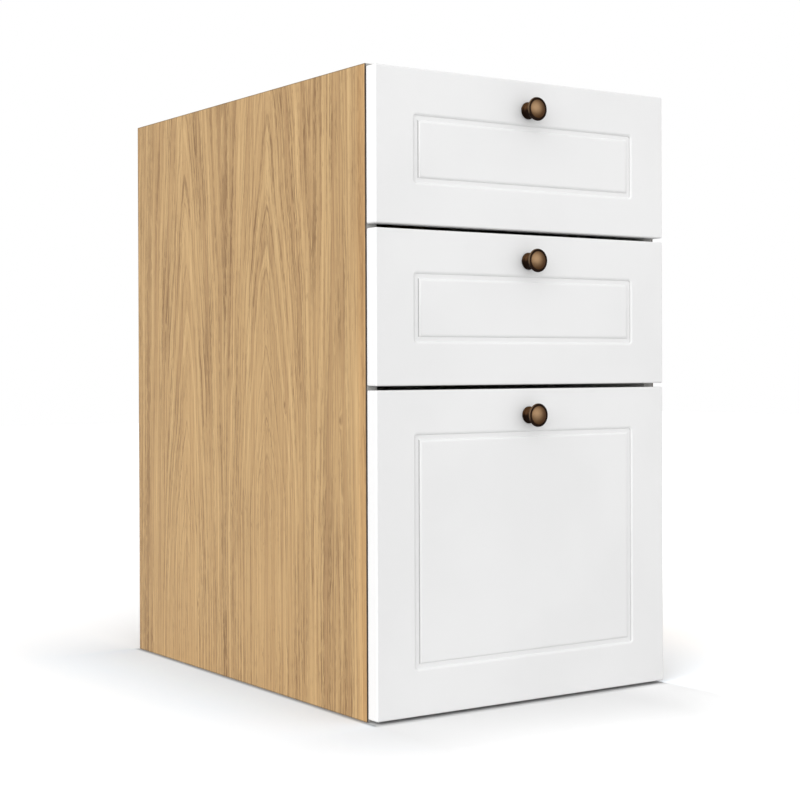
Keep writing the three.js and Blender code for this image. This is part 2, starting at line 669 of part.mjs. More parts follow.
const baseCabinet = new THREE.Group();
baseCabinet.add(carcass(), ...DRAWERS.map(drawerUnit));
baseCabinet.position.y = -(CABINET_DEPTH + frontFace - KNOB_PROJECTION) / 2;

export default baseCabinet;
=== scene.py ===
"""Looks of a kitchen base cabinet with three drawers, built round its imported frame.

Metres, +Z up, drawer fronts towards -Y. The carcass is white board whose outer sides are faced with
an oak décor. The fronts are foil-wrapped and routed, the knobs are turned and plated in antique
bronze, and the drawers run on ball-bearing slides.
"""

import json
import logging
import math
from collections.abc import Callable, Iterable, Iterator, Mapping, Sequence
from contextlib import contextmanager
from dataclasses import dataclass, field
from enum import Enum
from functools import reduce
from typing import TypeAlias

import bmesh
import bpy
from bpy.types import ColorRamp, Material, Mesh, Node, NodeSocket, NodeSocketColor, NodeTree, Object, World
from mathutils import Matrix, Vector


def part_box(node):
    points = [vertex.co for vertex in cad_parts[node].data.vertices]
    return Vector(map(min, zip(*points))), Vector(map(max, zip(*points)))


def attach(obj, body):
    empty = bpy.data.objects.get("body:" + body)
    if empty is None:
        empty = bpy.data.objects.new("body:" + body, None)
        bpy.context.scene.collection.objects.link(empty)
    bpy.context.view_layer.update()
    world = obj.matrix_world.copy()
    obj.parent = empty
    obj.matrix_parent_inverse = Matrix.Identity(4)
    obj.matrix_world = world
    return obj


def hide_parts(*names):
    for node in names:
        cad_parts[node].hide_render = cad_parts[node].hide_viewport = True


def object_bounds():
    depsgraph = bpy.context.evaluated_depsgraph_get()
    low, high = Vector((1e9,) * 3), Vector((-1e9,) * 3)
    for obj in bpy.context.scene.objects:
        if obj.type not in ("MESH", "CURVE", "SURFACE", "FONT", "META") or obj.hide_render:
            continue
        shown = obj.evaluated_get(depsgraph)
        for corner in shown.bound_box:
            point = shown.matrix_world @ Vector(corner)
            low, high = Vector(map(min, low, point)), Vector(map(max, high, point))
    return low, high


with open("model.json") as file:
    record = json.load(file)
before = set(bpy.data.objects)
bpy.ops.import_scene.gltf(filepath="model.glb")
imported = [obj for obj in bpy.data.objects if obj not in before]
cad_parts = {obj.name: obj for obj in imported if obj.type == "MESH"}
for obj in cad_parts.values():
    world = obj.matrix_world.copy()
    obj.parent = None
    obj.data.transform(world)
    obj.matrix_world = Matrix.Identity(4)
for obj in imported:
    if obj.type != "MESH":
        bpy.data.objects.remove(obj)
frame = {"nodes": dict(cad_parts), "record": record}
CAD_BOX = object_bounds()

log = logging.getLogger("base_cabinet")

MM = 0.001
DRAWERS = ("top", "middle", "bottom")

Rgb = tuple[float, float, float]
Point = tuple[float, float, float]
Spot = tuple[float, float]
Outline = list[Spot]
Fade = tuple[float, float]
Settings = Mapping[str, object]
Inputs = Mapping[str | int, object]
Operand: TypeAlias = "Signal | float"
Colour: TypeAlias = "Rgb | NodeSocket"

WHITE: Rgb = (1.0, 1.0, 1.0)
MERGE_DISTANCE = 0.002 * MM
SEAM_ANGLE = math.radians(35)
SQUARE_ON = 0.9  # a face lies square to an axis where its normal's part along it is more than this
FLAT_FACE_WEIGHT = 90


def srgb(red: int, green: int, blue: int) -> Rgb:
    """A colour as a screen shows it, 0 to 255, turned into the linear values that shaders use."""
    def linear(value: int) -> float:
        """One channel, from 0 to 1."""
        share = value / 255
        return share / 12.92 if share <= 0.04045 else ((share + 0.055) / 1.055) ** 2.4
    return linear(red), linear(green), linear(blue)


# ------------------------------------------------------------------------------ node trees

class Graph:
    """A shader or Geometry Nodes tree that is filled through one method."""

    def __init__(self, tree: NodeTree) -> None:
        """Wraps a tree."""
        self.tree = tree

    def node(self, kind: str, settings: Settings | None = None, inputs: Inputs | None = None) -> Node:
        """Adds one node.

        Args:
            kind: The node's type, such as "ShaderNodeTexNoise".
            settings: Its properties, set before its sockets. "stops" fills a colour ramp.
            inputs: For each socket's name or number, a value, or what is linked to it.

        Returns:
            The new node.
        """
        made = self.tree.nodes.new(kind)
        for name, value in (settings or {}).items():
            if name == "stops":
                self._fill_ramp(made.color_ramp, value)
            else:
                setattr(made, name, value)
        for key, value in (inputs or {}).items():
            self._feed(made.inputs[key], value)
        return made

    def first(self, kind: str, settings: Settings | None = None, inputs: Inputs | None = None) -> NodeSocket:
        """The first output of a new node, which takes the same arguments as node."""
        return self.node(kind, settings, inputs).outputs[0]

    def vector(self, x: object = 0.0, y: object = 0.0, z: object = 0.0) -> NodeSocket:
        """Three numbers as one vector."""
        return self.first("ShaderNodeCombineXYZ", None, {0: x, 1: y, 2: z})

    def _feed(self, socket: NodeSocket, value: object) -> None:
        """Links or sets one socket."""
        if isinstance(value, Signal):
            self.tree.links.new(value.socket, socket)
        elif isinstance(value, NodeSocket):
            self.tree.links.new(value, socket)
        elif isinstance(socket, NodeSocketColor):
            socket.default_value = (*value, 1.0)
        else:
            socket.default_value = value

    @staticmethod
    def _fill_ramp(ramp: ColorRamp, stops: Sequence[tuple[float, Rgb]]) -> None:
        """Gives a colour ramp its stops, in rising order."""
        while len(ramp.elements) < len(stops):
            ramp.elements.new(1.0)
        for element, (position, colour) in zip(ramp.elements, stops):
            element.position = position
            element.color = (*colour, 1.0)


class Signal:
    """A number that varies over a surface; Python's operators add the Math nodes."""

    def __init__(self, graph: Graph, socket: NodeSocket) -> None:
        """Wraps an output socket of a tree."""
        self.graph = graph
        self.socket = socket

    def _math(self, operation: str, *operands: Operand) -> "Signal":
        """A Math node on these operands."""
        made = self.graph.first("ShaderNodeMath", {"operation": operation}, dict(enumerate(operands)))
        return Signal(self.graph, made)

    def __add__(self, other: Operand) -> "Signal":
        """Self plus other."""
        return self._math("ADD", self, other)

    def __radd__(self, other: float) -> "Signal":
        """Other plus self."""
        return self._math("ADD", other, self)

    def __sub__(self, other: Operand) -> "Signal":
        """Self less other."""
        return self._math("SUBTRACT", self, other)

    def __rsub__(self, other: float) -> "Signal":
        """Other less self."""
        return self._math("SUBTRACT", other, self)

    def __mul__(self, other: Operand) -> "Signal":
        """Self times other."""
        return self._math("MULTIPLY", self, other)

    def __rmul__(self, other: float) -> "Signal":
        """Other times self."""
        return self._math("MULTIPLY", other, self)

    def __truediv__(self, other: Operand) -> "Signal":
        """Self over other."""
        return self._math("DIVIDE", self, other)

    def __rtruediv__(self, other: float) -> "Signal":
        """Other over self."""
        return self._math("DIVIDE", other, self)

    def __pow__(self, exponent: Operand) -> "Signal":
        """Self to a power."""
        return self._math("POWER", self, exponent)

    def __neg__(self) -> "Signal":
        """Self with its sign turned."""
        return self._math("MULTIPLY", self, -1.0)

    def __abs__(self) -> "Signal":
        """Self without its sign."""
        return self._math("ABSOLUTE", self)

    def root(self) -> "Signal":
        """The square root."""
        return self._math("SQRT", self)

    def beyond(self, limit: float) -> "Signal":
        """1 where self is over the limit, otherwise 0."""
        return self._math("GREATER_THAN", self, limit)

    def at_most(self, other: Operand) -> "Signal":
        """The smaller of self and other."""
        return self._math("MINIMUM", self, other)

    def at_least(self, other: Operand) -> "Signal":
        """The larger of self and other."""
        return self._math("MAXIMUM", self, other)

    def soft_minimum(self, other: Operand, width: float) -> "Signal":
        """The smaller of two, blended over a width where they are close."""
        return self._math("SMOOTH_MIN", self, other, width)

    def rise(self, start: float, end: float) -> "Signal":
        """A smooth step from 0 at start to 1 at end; from 1 to 0 where end is below start."""
        flip = end < start
        low, high = (end, start) if flip else (start, end)
        ends = {0: self, 1: low, 2: high, 3: float(flip), 4: float(not flip)}
        made = self.graph.first("ShaderNodeMapRange", {"interpolation_type": "SMOOTHSTEP"}, ends)
        return Signal(self.graph, made)


class Surface(Graph):
    """A material's tree, with the sources and mixes that the finishes share."""

    MIX_FACTOR, MIX_A, MIX_B, MIX_RESULT = 0, 6, 7, 2

    def __init__(self, name: str) -> None:
        """Starts an empty material."""
        self.material = bpy.data.materials.new(name)
        self.material.use_nodes = True
        super().__init__(self.material.node_tree)
        self.tree.nodes.clear()
        place = self.node("ShaderNodeTexCoord")
        self.position = place.outputs["Object"]
        split = self.node("ShaderNodeSeparateXYZ", None, {0: self.position})
        self.x, self.y, self.z = (Signal(self, out) * (1 / MM) for out in split.outputs)
        facing = self.node("ShaderNodeSeparateXYZ", None, {0: place.outputs["Normal"]})
        self.facing_x, self.facing_y, self.facing_z = (Signal(self, out) for out in facing.outputs)

    def noise(
        self, place: NodeSocket | Signal, scale: float = 1.0, detail: float = 2.0, roughness: float = 0.5,
    ) -> Signal:
        """Smooth noise, about 0.5 on average.

        Args:
            place: A vector for noise in space, or a number for noise along a line.
            scale: How many features fit in one unit.
            detail: How many finer layers are added.
            roughness: The strength of each finer layer.

        Returns:
            The noise, from 0 to 1.
        """
        along_line = isinstance(place, Signal)
        settings = {"noise_dimensions": "1D" if along_line else "3D"}
        where = "W" if along_line else "Vector"
        inputs = {where: place, "Scale": scale, "Detail": detail, "Roughness": roughness}
        return Signal(self, self.first("ShaderNodeTexNoise", settings, inputs))

    def cloud(self, scale: float, detail: float = 2.0, roughness: float = 0.5) -> Signal:
        """Noise in space with so many features in a metre."""
        return self.noise(self.position, scale, detail, roughness)

    def mix(self, factor: Operand, base: Colour, other: Colour) -> NodeSocket:
        """Two colours mixed."""
        inputs = {self.MIX_FACTOR: factor, self.MIX_A: base, self.MIX_B: other}
        return self.node("ShaderNodeMix", {"data_type": "RGBA"}, inputs).outputs[self.MIX_RESULT]

    def layered(self, colour: Colour, *layers: tuple[Signal, Colour]) -> NodeSocket:
        """A colour with others laid over it in turn, each where its own mask is 1."""
        for mask, layer in layers:
            colour = self.mix(mask, colour, layer)
        return colour

    def ramp(self, factor: Signal, stops: Sequence[tuple[float, Rgb]]) -> NodeSocket:
        """A number turned into a colour."""
        return self.first("ShaderNodeValToRGB", {"stops": stops}, {0: factor})

    def shade(self, colour: NodeSocket, amount: Operand) -> NodeSocket:
        """A colour scaled by a number."""
        return self.first("ShaderNodeVectorMath", {"operation": "SCALE"}, {0: colour, "Scale": amount})

    def bump(self, height: Signal, depth_mm: float) -> NodeSocket:
        """A normal bent by a height from 0 to 1 that is so many millimetres deep."""
        return self.first("ShaderNodeBump", None, {"Distance": depth_mm * MM, "Height": height})

    def close(self, inputs: Inputs) -> Material:
        """Ends the tree in one Principled BSDF with these inputs."""
        shader = self.first("ShaderNodeBsdfPrincipled", None, inputs)
        self.node("ShaderNodeOutputMaterial", None, {0: shader})
        return self.material


# ------------------------------------------------------------------------------ finishes

class Finish:
    """A look that makes its own material."""

    def build(self, name: str) -> Material:
        """Makes the material."""
        surface = Surface(name)
        return surface.close(self.look(surface))

    def look(self, surface: Surface) -> Inputs:
        """The shader's inputs."""
        raise NotImplementedError


@dataclass(frozen=True)
class GrainNoise:
    """Noise drawn out along the oak's grain.

    Attributes:
        across: Its size across the grain, in mm.
        along: Its size along the grain, in mm.
        layer: Which layer of the noise it is cut from.
        detail: How many finer layers are added.
        roughness: The strength of each finer layer.
    """

    across: float
    along: float
    layer: float
    detail: float = 2.0
    roughness: float = 0.5

    def level(self, surface: Surface, behind: Signal, height: Signal) -> Signal:
        """The noise so far behind the panel's front edge and so high, in mm."""
        place = surface.vector(behind / self.across, height / self.along, self.layer)
        return surface.noise(place, detail=self.detail, roughness=self.roughness)


@dataclass(frozen=True)
class GrowthLine:
    """A family of growth lines, drawn where a noise along the rings crosses its middle.

    Attributes:
        spacing: The size of that noise, in mm of the rings' level.
        seed: Where it starts in the noise.
        detail: How many finer layers are added.
        fade: How far from the crossing a line ends, and where it is full.
    """

    spacing: float
    seed: float
    detail: float
    fade: Fade

    def mask(self, surface: Surface, rings: Signal, steepness: Signal) -> Signal:
        """1 on the lines and 0 between them."""
        crossing = abs(surface.noise(rings / self.spacing + self.seed, detail=self.detail) - 0.5)
        return (crossing / steepness).rise(*self.fade)


@dataclass(frozen=True)
class GrainFigure:
    """A column of the oak décor where the growth lines close into arches that point up.

    Attributes:
        centre: Its distance behind the panel's front edge, in mm.
        heart: The height that the arches close towards, in mm.
        foot: The height below which there are no arches and the lines run straight, in mm.
        slope: How fast the lines close with height.
        tip: How blunt the arches are, in mm.
        point: How far the blunt arches still come to a point, in mm.
        seed: Where it starts in the noise that sways it.
        sway: How far it sways, in mm.
        sway_run: The height of one sway, in mm.
        foot_blend: How softly the arches begin above the foot, in mm.
        reach: How far from its centre the arches have straightened, and how far they are full, in mm.
        straightened: The share of their slope that is left there.
    """

    centre: float
    heart: float
    foot: float
    slope: float
    tip: float
    point: float
    seed: float
    sway: float = 4.0
    sway_run: float = 110.0
    foot_blend: float = 60.0
    reach: Fade = (165.0, 55.0)
    straightened: float = 0.25

    def rings(self, surface: Surface, across: Signal, height: Signal) -> tuple[Signal, Signal]:
        """Its growth lines' level in mm, which is even along each line, and how steeply it changes."""
        sway = surface.noise(height / self.sway_run + self.seed, detail=2.0) - 0.5
        offset = abs(across - self.centre) + self.point
        reach = (offset * offset + self.tip ** 2).root()
        fall = (self.heart - height).soft_minimum(self.heart - self.foot, self.foot_blend)
        bending = self.straightened + offset.rise(*self.reach) * (1 - self.straightened)
        level = reach - self.tip - fall * self.slope * bending + sway * self.sway
        return level, (offset * offset / (reach * reach) + self.slope ** 2).root()


@dataclass(frozen=True)
class PinKnot:
    """A small dark knot, in mm.

    Attributes:
        behind: Its distance behind the panel's front edge.
        height: Its height above the floor.
        width: Half its size across the grain.
        length: Half its size along the grain.
        fade: Where it ends and where it is full, as shares of that size.
    """

    behind: float
    height: float
    width: float = 2.2
    length: float = 7.0
    fade: Fade = (1.0, 0.2)

    def mask(self, behind: Signal, height: Signal, spread: float) -> Signal:
        """1 in its middle, fading to 0 at spread times its size."""
        across = (behind - self.behind) / (self.width * spread)
        along = (height - self.height) / (self.length * spread)
        return (across * across + along * along).root().rise(*self.fade)


@dataclass(frozen=True)
class OakDecor(Finish):
    """Oak-effect melamine with its grain upright, for the outer sides.

    Attributes:
        tones: Its tones, each with its place in the blend of bands and streaks.
        line: Its growth lines, pores and knots.
        warm: Its tint close to the front edge.
        arris: Its darker edges: the cut décor's edge, with painted shade along the bevel and painted contact
            shade at the floor.
        figures: Its columns of arches.
        knots: Its pin knots.
        bends: What bends the growth lines sideways, and how far, in mm.
        early: The clear growth lines.
        late: The faint ones between them.
        breaks: What breaks the growth lines.
        patches: Where lines and pores are strong.
        streaks: The tone's fine streaks.
        fibres: What the pores are cut from.
        boards: The tone's slow drift.
        band_spacing: The size of the tone's bands, in mm of the rings' level.
        band_share: The bands' share in the tone, the rest being streaks.
        patch_fade: Between which levels of their noise the strong patches grow.
        break_fade: The same for the parts of a line that aren't broken.
        pore_fade: The same for the pores.
        weakest: What is left of lines and pores where they are weakest.
        line_share: How strong the growth lines are.
        late_share: How strong the faint ones are beside the clear ones.
        pore_share: How strong the pores are.
        knot_share: How strong the pin knots are.
        warm_share: How strong the warm tint is.
        arris_share: How strong the darker edge tone is.
        shading: The tone's brightness where it is darkest, and what the boards and streaks add.
        figure_blend: How softly neighbouring figures meet, in mm.
        knot_spread: How far a knot bends the lines round it, in knot sizes.
        knot_bend: How far it bends them, in mm.
        warm_fade: Where the warm tint ends and where it is full, behind the front edge, in mm.
        arris_fade: Where the darker edge tone ends and where it is full, in from the edge, in mm.
        right_side_offset: How far along the pattern the right side starts, in mm.
        front_edge: Where the panel's front edge lies on Y, in mm.
    """

    tones: tuple[tuple[float, Rgb], ...] = (
        (0.37, srgb(169, 134, 93)),
        (0.49, srgb(191, 156, 109)),
        (0.60, srgb(209, 175, 125)),
    )
    line: Rgb = srgb(120, 88, 54)
    warm: Rgb = srgb(216, 166, 104)
    # cut décor edge, with painted shade along the bevel and painted contact shade at the floor
    arris: Rgb = srgb(112, 94, 72)
    figures: tuple[GrainFigure, ...] = (
        GrainFigure(centre=62, heart=1100, foot=100, slope=0.030, tip=4.0, point=4.0, seed=2.3),
        GrainFigure(centre=224, heart=1000, foot=230, slope=0.130, tip=38.0, point=9.0, seed=7.9),
        GrainFigure(centre=452, heart=1000, foot=120, slope=0.110, tip=24.0, point=6.0, seed=14.2),
    )
    knots: tuple[PinKnot, ...] = (PinKnot(55, 347), PinKnot(417, 87), PinKnot(183, 363))
    bends: tuple[tuple[GrainNoise, float], ...] = (
        (GrainNoise(across=120, along=700, layer=3.1, detail=1.0), 26),
        (GrainNoise(across=28, along=130, layer=8.4), 8),
        (GrainNoise(across=9, along=24, layer=2.2), 1.6),
    )
    early: GrowthLine = GrowthLine(spacing=12, seed=41.0, detail=2.0, fade=(0.080, 0.035))
    late: GrowthLine = GrowthLine(spacing=5, seed=87.0, detail=1.0, fade=(0.100, 0.040))
    breaks: GrainNoise = GrainNoise(across=2.0, along=16, layer=4.4)
    patches: GrainNoise = GrainNoise(across=36, along=170, layer=5.5)
    streaks: GrainNoise = GrainNoise(across=2.8, along=330, layer=1.7, detail=4.0, roughness=0.7)
    fibres: GrainNoise = GrainNoise(across=2.0, along=18, layer=6.1)
    boards: GrainNoise = GrainNoise(across=40, along=900, layer=9.7)
    band_spacing: float = 12.0
    band_share: float = 0.40
    patch_fade: Fade = (0.32, 0.72)
    break_fade: Fade = (0.36, 0.54)
    pore_fade: Fade = (0.60, 0.68)
    weakest: float = 0.30
    line_share: float = 0.80
    late_share: float = 0.45
    pore_share: float = 0.45
    knot_share: float = 0.70
    warm_share: float = 0.28
    arris_share: float = 0.60
    shading: tuple[float, float, float] = (0.875, 0.16, 0.04)
    figure_blend: float = 18.0
    knot_spread: float = 3.0
    knot_bend: float = 5.0
    warm_fade: Fade = (24.0, 4.0)
    arris_fade: Fade = (1.5, 0.7)
    right_side_offset: float = 730.0
    front_edge: float = -279.25

    def rings(self, surface: Surface, behind: Signal, height: Signal) -> tuple[Signal, Signal]:
        """The growth lines' level in mm, which is even along each line, and how steeply it changes."""
        across = behind
        for noise, swing in self.bends:
            across = across + (noise.level(surface, behind, height) - 0.5) * swing
        level, steepness = self.figures[0].rings(surface, across, height)
        for figure in self.figures[1:]:
            arch, slant = figure.rings(surface, across, height)
            level, steepness = level.soft_minimum(arch, self.figure_blend), steepness.at_most(slant)
        return level, steepness

    def knot_mask(self, behind: Signal, height: Signal, spread: float) -> Signal:
        """1 in the middle of each pin knot, fading to 0 at spread times its size."""
        return reduce(Signal.at_least, (knot.mask(behind, height, spread) for knot in self.knots))

    def cut_edge_and_shade_mask(self, surface: Surface, height: Signal) -> Signal:
        """1 along the board's upper, rear and lower edges, where the décor is cut and where shade is painted
        along the bevel and at the floor.
        """
        low, high = CAD_BOX
        masks = (
            place.rise(*(edge / MM + inward * run for run in self.arris_fade))
            for place, edge, inward in ((height, high.z, -1), (surface.y, high.y, -1), (height, low.z, 1))
        )
        return reduce(Signal.at_least, masks)

    def look(self, surface: Surface) -> Inputs:
        """The shader's inputs."""
        height = surface.z
        behind = surface.y - self.front_edge + surface.x.beyond(0.0) * self.right_side_offset
        rings, steepness = self.rings(surface, behind, height)
        rings = rings + self.knot_mask(behind, height, self.knot_spread) * self.knot_bend
        breaks, patch, streak, fibre, board = (
            noise.level(surface, behind, height)
            for noise in (self.breaks, self.patches, self.streaks, self.fibres, self.boards)
        )

        patch = patch.rise(*self.patch_fade)
        strength = self.weakest + patch * (1 - self.weakest)
        unbroken = self.weakest + breaks.rise(*self.break_fade) * (1 - self.weakest)
        early = self.early.mask(surface, rings, steepness) * strength
        late = self.late.mask(surface, rings, steepness) * patch * self.late_share
        lines = early.at_least(late) * unbroken
        pores = fibre.rise(*self.pore_fade) * strength
        band = surface.noise(rings / self.band_spacing, detail=4.0, roughness=0.60)
        colour = surface.layered(
            surface.ramp(band * self.band_share + streak * (1 - self.band_share), self.tones),
            (lines * self.line_share, self.line),
            (pores * self.pore_share, self.line),
            (self.knot_mask(behind, height, 1.0) * self.knot_share, self.line),
            (behind.rise(*self.warm_fade) * self.warm_share, self.warm),
            # painted shade along the upper, rear and lower edges, over the cut décor's edge
            (self.cut_edge_and_shade_mask(surface, height) * self.arris_share, self.arris),
        )
        darkest, by_board, by_streak = self.shading
        return {
            "Base Color": surface.shade(colour, darkest + board * by_board + streak * by_streak),
            "Roughness": 0.50 - streak * 0.12,
            "Normal": surface.bump(streak * 0.4 - lines * 0.5 - pores * 0.6, 0.05),
            "Specular IOR Level": 0.35,
        }


@dataclass(frozen=True)
class WhiteMelamine(Finish):
    """Matt white melamine with a faint pearl texture, on the carcass's inside and the drawer boxes."""

    tone: Rgb = srgb(233, 232, 229)
    clouds: Rgb = srgb(226, 225, 221)
    pearl_mm: float = 1.4

    def look(self, surface: Surface) -> Inputs:
        """The shader's inputs."""
        pearl = surface.cloud(1 / (self.pearl_mm * MM), roughness=0.6)
        return {
            "Base Color": surface.mix(surface.cloud(9.0).rise(0.3, 0.7), self.tone, self.clouds),
            "Roughness": 0.46 + pearl * 0.14,
            "Normal": surface.bump(pearl, 0.02),
            "Specular IOR Level": 0.4,
        }


@dataclass(frozen=True)
class RevealShadeLine:
    """A dark line painted along the outside of a side panel's front edging: painted shade of the narrow gap
    between the fronts and the panel.

    Attributes:
        tone: Its colour.
        outer_face: From the cabinet's middle to its outer face, in mm.
        width: How far it reaches in from that face, in mm.
        softness: How far its inner edge fades to each side, in mm.
        wobble: How far that edge wanders, in mm.
        wobble_run: The height of one wobble, in mm.
        strength: How strong the line is.
    """

    # painted shade of the gap behind the fronts
    tone: Rgb = srgb(62, 44, 28)
    outer_face: float = 225.0
    width: float = 2.1
    softness: float = 0.3
    wobble: float = 0.5
    wobble_run: float = 18.0
    strength: float = 0.94

    def over(self, surface: Surface, plain: NodeSocket) -> NodeSocket:
        """The plain edging with the line over it."""
        uneven = surface.noise(surface.z / self.wobble_run) - 0.5
        inward = self.outer_face - abs(surface.x) + uneven * self.wobble
        line = inward.rise(self.width + self.softness, self.width - self.softness)
        return surface.mix(line * self.strength, plain, self.tone)


@dataclass(frozen=True)
class Edging(Finish):
    """Plastic edging with fine lines along it.

    Attributes:
        tone: Its colour.
        line_tone: The lines' colour.
        line_share: How strong the lines are.
        roughness: How rough it is between the lines.
        reveal_shade: The painted shade line beside it, if one shows.
        line_mm: How fine the lines are, in mm.
        line_run: How long they are, in mm.
        line_fade: Between which levels of their noise they grow.
    """

    tone: Rgb
    line_tone: Rgb
    line_share: float
    roughness: float
    reveal_shade: RevealShadeLine | None = None
    line_mm: float = 0.5
    line_run: float = 60.0
    line_fade: Fade = (0.35, 0.75)

    def look(self, surface: Surface) -> Inputs:
        """The shader's inputs."""
        place = surface.vector(surface.x / self.line_mm, surface.y / self.line_mm, surface.z / self.line_run)
        lines = surface.noise(place, detail=1.0)
        colour = surface.mix(lines.rise(*self.line_fade) * self.line_share, self.tone, self.line_tone)
        return {
            "Base Color": self.reveal_shade.over(surface, colour) if self.reveal_shade else colour,
            "Roughness": self.roughness + lines * 0.12,
            "Normal": surface.bump(lines, 0.015),
        }


WHITE_EDGING = Edging(srgb(236, 235, 233), srgb(224, 223, 220), line_share=0.25, roughness=0.36)
# the side panels' edging is mid-grey, darker than the white edging: painted shade for the narrow gaps behind
# the fronts
SIDE_EDGING = Edging(srgb(174, 173, 170), srgb(162, 161, 158), line_share=0.3, roughness=0.42,
                     reveal_shade=RevealShadeLine())


@dataclass(frozen=True)
class Chipboard(Finish):
    """The raw edge of chipboard: pressed chips with small dark voids between them."""

    chips: tuple[Rgb, ...] = (
        srgb(150, 118, 80), srgb(188, 156, 113), srgb(208, 180, 138), srgb(222, 198, 160))
    gap: Rgb = srgb(104, 78, 50)
    chip_mm: float = 2.2
    lie: float = 0.6

    def look(self, surface: Surface) -> Inputs:
        """The shader's inputs."""
        wander = surface.cloud(260.0) - 0.5
        place = surface.vector(
            surface.x + wander * 2.0,
            surface.y * self.lie + wander * 3.0,
            surface.z * self.lie - wander * 3.0,
        )
        chips = surface.node("ShaderNodeTexVoronoi", None, {"Vector": place, "Scale": 1 / self.chip_mm})
        tint = Signal(surface, surface.first("ShaderNodeSeparateXYZ", None, {0: chips.outputs["Color"]}))
        dust = surface.cloud(2600.0)
        voids = surface.cloud(900.0).rise(0.62, 0.72)
        stops = tuple(((index + 0.5) / len(self.chips), chip) for index, chip in enumerate(self.chips))
        return {
            "Base Color": surface.mix(voids * 0.75, surface.ramp(tint * 0.8 + dust * 0.2, stops), self.gap),
            "Roughness": 0.88,
            "Normal": surface.bump(tint * 0.5 + dust * 0.3 - voids, 0.25),
            "Specular IOR Level": 0.15,
        }


@dataclass(frozen=True)
class WhiteFoil(Finish):
    """Satin white foil drawn over routed fibreboard, with a very fine orange peel.

    Attributes:
        tone: The foil.
        clouds: Its slightly darker clouds.
        groove_foot_shade: The painted shade at the foot of a groove's wall.
        drawn: A painted highlight on the left edge, which faces the strongest light.
        peel_mm: The size of the orange peel, in mm.
        face: Where the fronts' faces lie on Y, in mm.
        field: How far from the middle the grooves can be, in mm.
        edge: How far from the middle the left edge's rounding begins, in mm.
        shade_depth: Between which depths in the groove the painted shade grows, in mm.
        shade_turn: Between which slants of the wall the painted shade grows.
        right_loss: How much weaker it is right of the middle.
    """

    tone: Rgb = srgb(238, 238, 238)
    clouds: Rgb = srgb(235, 235, 235)
    # painted shade for the foot of the groove walls that face left
    groove_foot_shade: Rgb = srgb(150, 150, 150)
    # painted highlight on the left edge
    drawn: Rgb = srgb(241, 241, 241)
    peel_mm: float = 2.6
    face: float = -298.75
    field: float = 190.0
    edge: float = 221.5
    shade_depth: Fade = (0.7, 1.9)
    shade_turn: Fade = (0.2, 0.65)
    right_loss: float = 0.45

    def groove_foot_shade_mask(self, surface: Surface) -> Signal:
        """1 at the foot of the walls that face left, where painted shade darkens the groove's corner; less on
        the right.
        """
        foot = (surface.y - self.face).rise(*self.shade_depth) * (-surface.facing_x).rise(*self.shade_turn)
        inside = abs(surface.x).rise(self.field + 2.0, self.field)
        return foot * inside * (1 - surface.x.beyond(0.0) * self.right_loss)

    def look(self, surface: Surface) -> Inputs:
        """The shader's inputs."""
        peel = surface.cloud(1 / (self.peel_mm * MM))
        grit = surface.cloud(2200.0, detail=1.0)
        colour = surface.layered(
            self.tone,
            (surface.cloud(6.0).rise(0.35, 0.65), self.clouds),
            # painted highlight on the left edge's rounding and side
            ((-surface.x).rise(self.edge, self.edge + 1.5), self.drawn),
            # painted shade at the foot of the groove walls that face left
            (self.groove_foot_shade_mask(surface) * 0.8, self.groove_foot_shade),
        )
        return {
            "Base Color": colour,
            "Roughness": 0.40 + grit * 0.06,
            "Normal": surface.bump(peel * 0.8 + grit * 0.2, 0.012),
            "Specular IOR Level": 0.4,
        }


class BoardFace(Enum):
    """The two sides of a thin fibreboard sheet, by the way its lacquered side faces."""

    FRONT = "front"
    UPPER = "upper"


@dataclass(frozen=True)
class Hardboard(Finish):
    """Thin hard fibreboard, white-lacquered on one side and bare brown on the other."""

    lacquered: BoardFace
    lacquer: Rgb = srgb(231, 230, 226)
    lacquer_clouds: Rgb = srgb(225, 224, 219)
    bare: Rgb = srgb(158, 122, 84)
    bare_dark: Rgb = srgb(122, 90, 58)

    def look(self, surface: Surface) -> Inputs:
        """The shader's inputs."""
        towards = -surface.facing_y if self.lacquered is BoardFace.FRONT else surface.facing_z
        is_white = towards.beyond(0.5)
        fluff = surface.cloud(420.0, detail=4.0, roughness=0.65).rise(0.36, 0.66)
        felt = surface.cloud(2100.0)
        cloud = surface.cloud(14.0, detail=3.0)
        mesh_mark = surface.cloud(700.0, detail=0.0)
        drift = surface.cloud(40.0, detail=1.0).rise(0.3, 0.7)
        bare = surface.shade(surface.mix(fluff, self.bare_dark, self.bare), 0.90 + cloud * 0.2)
        lacquer = surface.mix(drift * 0.5, self.lacquer, self.lacquer_clouds)
        white = surface.shade(lacquer, 0.985 + cloud * 0.03)
        return {
            "Base Color": surface.mix(is_white, bare, white),
            "Roughness": 0.82 - is_white * 0.32,
            "Normal": surface.bump(felt * (1 - is_white * 0.8) + mesh_mark * 0.3, 0.06),
            "Specular IOR Level": 0.3,
        }


